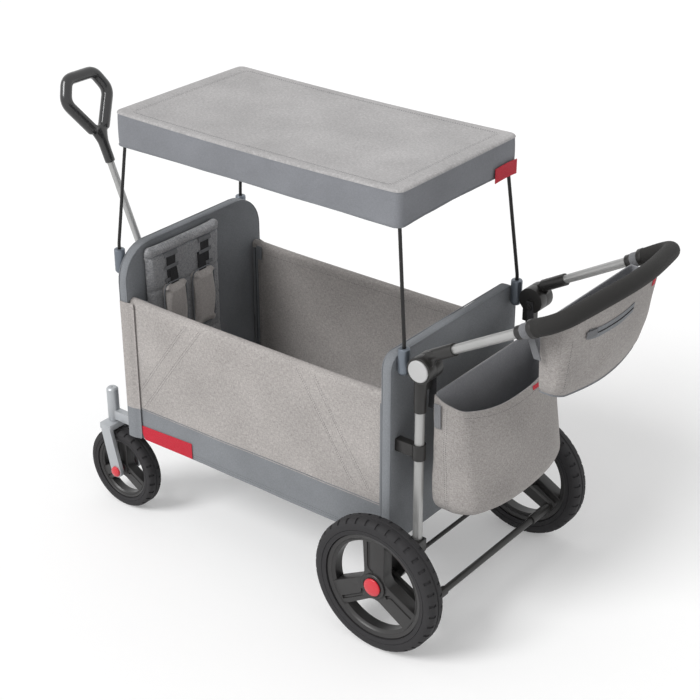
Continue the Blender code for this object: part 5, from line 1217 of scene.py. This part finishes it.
for side, hand in HANDS:
    y = SEAT_Y + side * SHOULDER_Y
    low = at(SEAT_FACE + 0.016, y - SHOULDER_HALF, SHOULDER_LOW)
    high = at(SEAT_FACE + 0.033, y + SHOULDER_HALF, SHOULDER_HIGH)
    pad = plumped(pad_blank("shoulder_pad_cloth_" + hand, low, high, 0.015), 0.004, 0.0035, low.x - 0.001)
    for corner in pad.data.vertices:
        corner.co.y += wave(corner.co.z, corner.co.x, 0.08, 0.004, 33.0 + side)
    smoothed(pad, pad_heather_painted_light, 70)
    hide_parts("shoulder_pad_" + hand)
    edge, z = [], (SHOULDER_LOW + SHOULDER_HIGH) / 2
    for a in range(0, 360, 10):
        c, s = cos(radians(a)), sin(radians(a))
        edge.append(Vector((low.x + 0.009, y + 0.0375 * abs(c) ** 0.45 * (1 if c > 0 else -1),
                            z + 0.0755 * abs(s) ** 0.32 * (1 if s > 0 else -1))))
    seat_bits += [pad, piping("shoulder_piping_" + hand, edge, SHOULDER_PIPING_R, slate_trim, closed=True)]
    strap = [[at(SEAT_FACE + out, y + w, z) for w in (-0.012, 0, 0.012)]
             for out, z in ((0.0195, 0.632), (0.0225, 0.618), (0.0255, 0.600), (0.0265, 0.578))]
    seat_bits.append(sew("harness_strap_" + hand, strap, black_webbing, level=0))
for piece in seat_bits:
    fitted(piece, "front_frame", "dark_heather")

# Fittings in cast and moulded parts: rod cups in slate paint, posts and tubes in satin aluminium,
# hubs, clips and brackets in black plastic, hub buttons in pale grey and bolt heads in red plastic.
FITTING_ROUND = 0.0016
satin_aluminium = hard_look("Satin aluminium", srgb(172, 172, 171), srgb(190, 190, 189), 0.42, 0.55,
                            metallic=0.6, grain_size=2200.0, grain_depth=0.00003, wear=0.3)
BOARD_GREY = srgb(112, 114, 118)
board_cloth = cloth_look("Floor board cloth", toned(BOARD_GREY, 0.86), toned(BOARD_GREY, 1.10), lies="solid",
                         crease_depth=0.0015)
socket_paint = hard_look("Slate painted casting", srgb(112, 119, 128), srgb(138, 145, 154), 0.34, 0.46,
                         metallic=0.5, grain_size=1500.0, wear=0.25)
button_plastic = hard_look("Pale grey plastic", srgb(186, 186, 186), srgb(198, 198, 198), 0.5, 0.62,
                           grain_size=1500.0, wear=0.2)
softened(both("rear_rod_socket", "front_rod_socket"), FITTING_ROUND, socket_paint, "grey_casting")
rounded_copy("push_bar", TUBE_SWELL, satin_aluminium, "silver_tube")
softened(both("hub_base", "hub_arm", "post_clip", "axle_bracket") + ["pull_bracket"], FITTING_ROUND,
         black_plastic, "black_plastic")
dress(button_plastic, *both("hub_button"))
dress(satin_aluminium, *both("push_post"), "pull_tube_outer", "pull_tube_inner")
dress(black_plastic, "brake_bar")
dress(red_plastic, *both("caster_bolt"))
dress(board_cloth, "floor_rear", "floor_front")

# A plain pale floor, seen as white away from the wagon's shadow, and soft studio lamps with the
# brightest on the wagon's right-hand side.
FLOOR_TONE, FLOOR_GLOW, SKY = 0.80, 0.22, 0.60
KEY_POWER, KEY_SPREAD, KEY_WAY, FILL_POWER = 1.95, radians(26), Vector((1.2, 3.2, -3.3)), 1.5
CAMERA_AZIMUTH, CAMERA_ELEVATION, CAMERA_ROLL = radians(38.15), radians(27.27), radians(-0.09)
CAMERA_PLACE, CAMERA_LENS, CAMERA_SENSOR = (2.0681, -2.5594, 2.1839), 82.74, 36.0


def seen_as_white(tree):
    """1 for the camera, reflections and glass, 0 for the light that the surroundings give."""
    rays = node(tree, "LightPath").outputs
    return maths(tree, "MAXIMUM", rays["Is Camera Ray"],
                 maths(tree, "MAXIMUM", rays["Is Glossy Ray"], rays["Is Transmission Ray"]))


def in_studio(name, thing):
    """A lamp or camera put into the scene."""
    made = bpy.data.objects.new(name, thing)
    bpy.context.scene.collection.objects.link(made)
    return made


bpy.ops.mesh.primitive_plane_add(size=40.0, location=(0, 0, 0))
floor = bpy.context.object
floor.name = "studio_floor"
floor_look, floor_tree, floor_shader = blank_look("Studio floor")
for label, value in (("Base Color", (FLOOR_TONE, FLOOR_TONE, FLOOR_TONE, 1)), ("Roughness", 0.95),
                     ("Specular IOR Level", 0.1), ("Emission Color", (1, 1, 1, 1))):
    floor_shader.inputs[label].default_value = value
glow = maths(floor_tree, "MULTIPLY", seen_as_white(floor_tree), FLOOR_GLOW)
floor_tree.links.new(glow, floor_shader.inputs["Emission Strength"])
floor.data.materials.append(floor_look)

world = bpy.data.worlds.new("Studio")
world.use_nodes = True
bpy.context.scene.world = world
sky = world.node_tree.nodes["Background"]
strength = node(world.node_tree, "MapRange",
                {"Value": seen_as_white(world.node_tree), "To Min": SKY, "To Max": 1.0})
world.node_tree.links.new(strength.outputs[0], sky.inputs["Strength"])
sky.inputs["Color"].default_value = (1, 1, 1, 1)

key = in_studio("key", bpy.data.lights.new("key", "SUN"))
key.data.energy, key.data.angle = KEY_POWER, KEY_SPREAD
key.rotation_euler = KEY_WAY.to_track_quat("-Z", "Y").to_euler()
fill = in_studio("fill", bpy.data.lights.new("fill", "AREA"))
fill.data.shape, fill.data.energy = "RECTANGLE", FILL_POWER
fill.data.size, fill.data.size_y = 2.0, 2.0
fill.location = (3.6, -0.4, 2.6)
fill.rotation_euler = (Vector((0, 0, 0.5)) - Vector((3.6, -0.4, 2.6))).to_track_quat("-Z", "Y").to_euler()

camera = in_studio("camera", bpy.data.cameras.new("camera"))
camera.data.lens, camera.data.sensor_width = CAMERA_LENS, CAMERA_SENSOR
camera.location = CAMERA_PLACE
looking = -Vector((sin(CAMERA_AZIMUTH) * cos(CAMERA_ELEVATION), -cos(CAMERA_AZIMUTH) * cos(CAMERA_ELEVATION),
                   sin(CAMERA_ELEVATION)))
camera.rotation_euler = (looking.to_track_quat("-Z", "Y") @ Quaternion((0, 0, 1), CAMERA_ROLL)).to_euler()
bpy.context.scene.camera = camera
bpy.context.scene.view_settings.view_transform = "Standard"
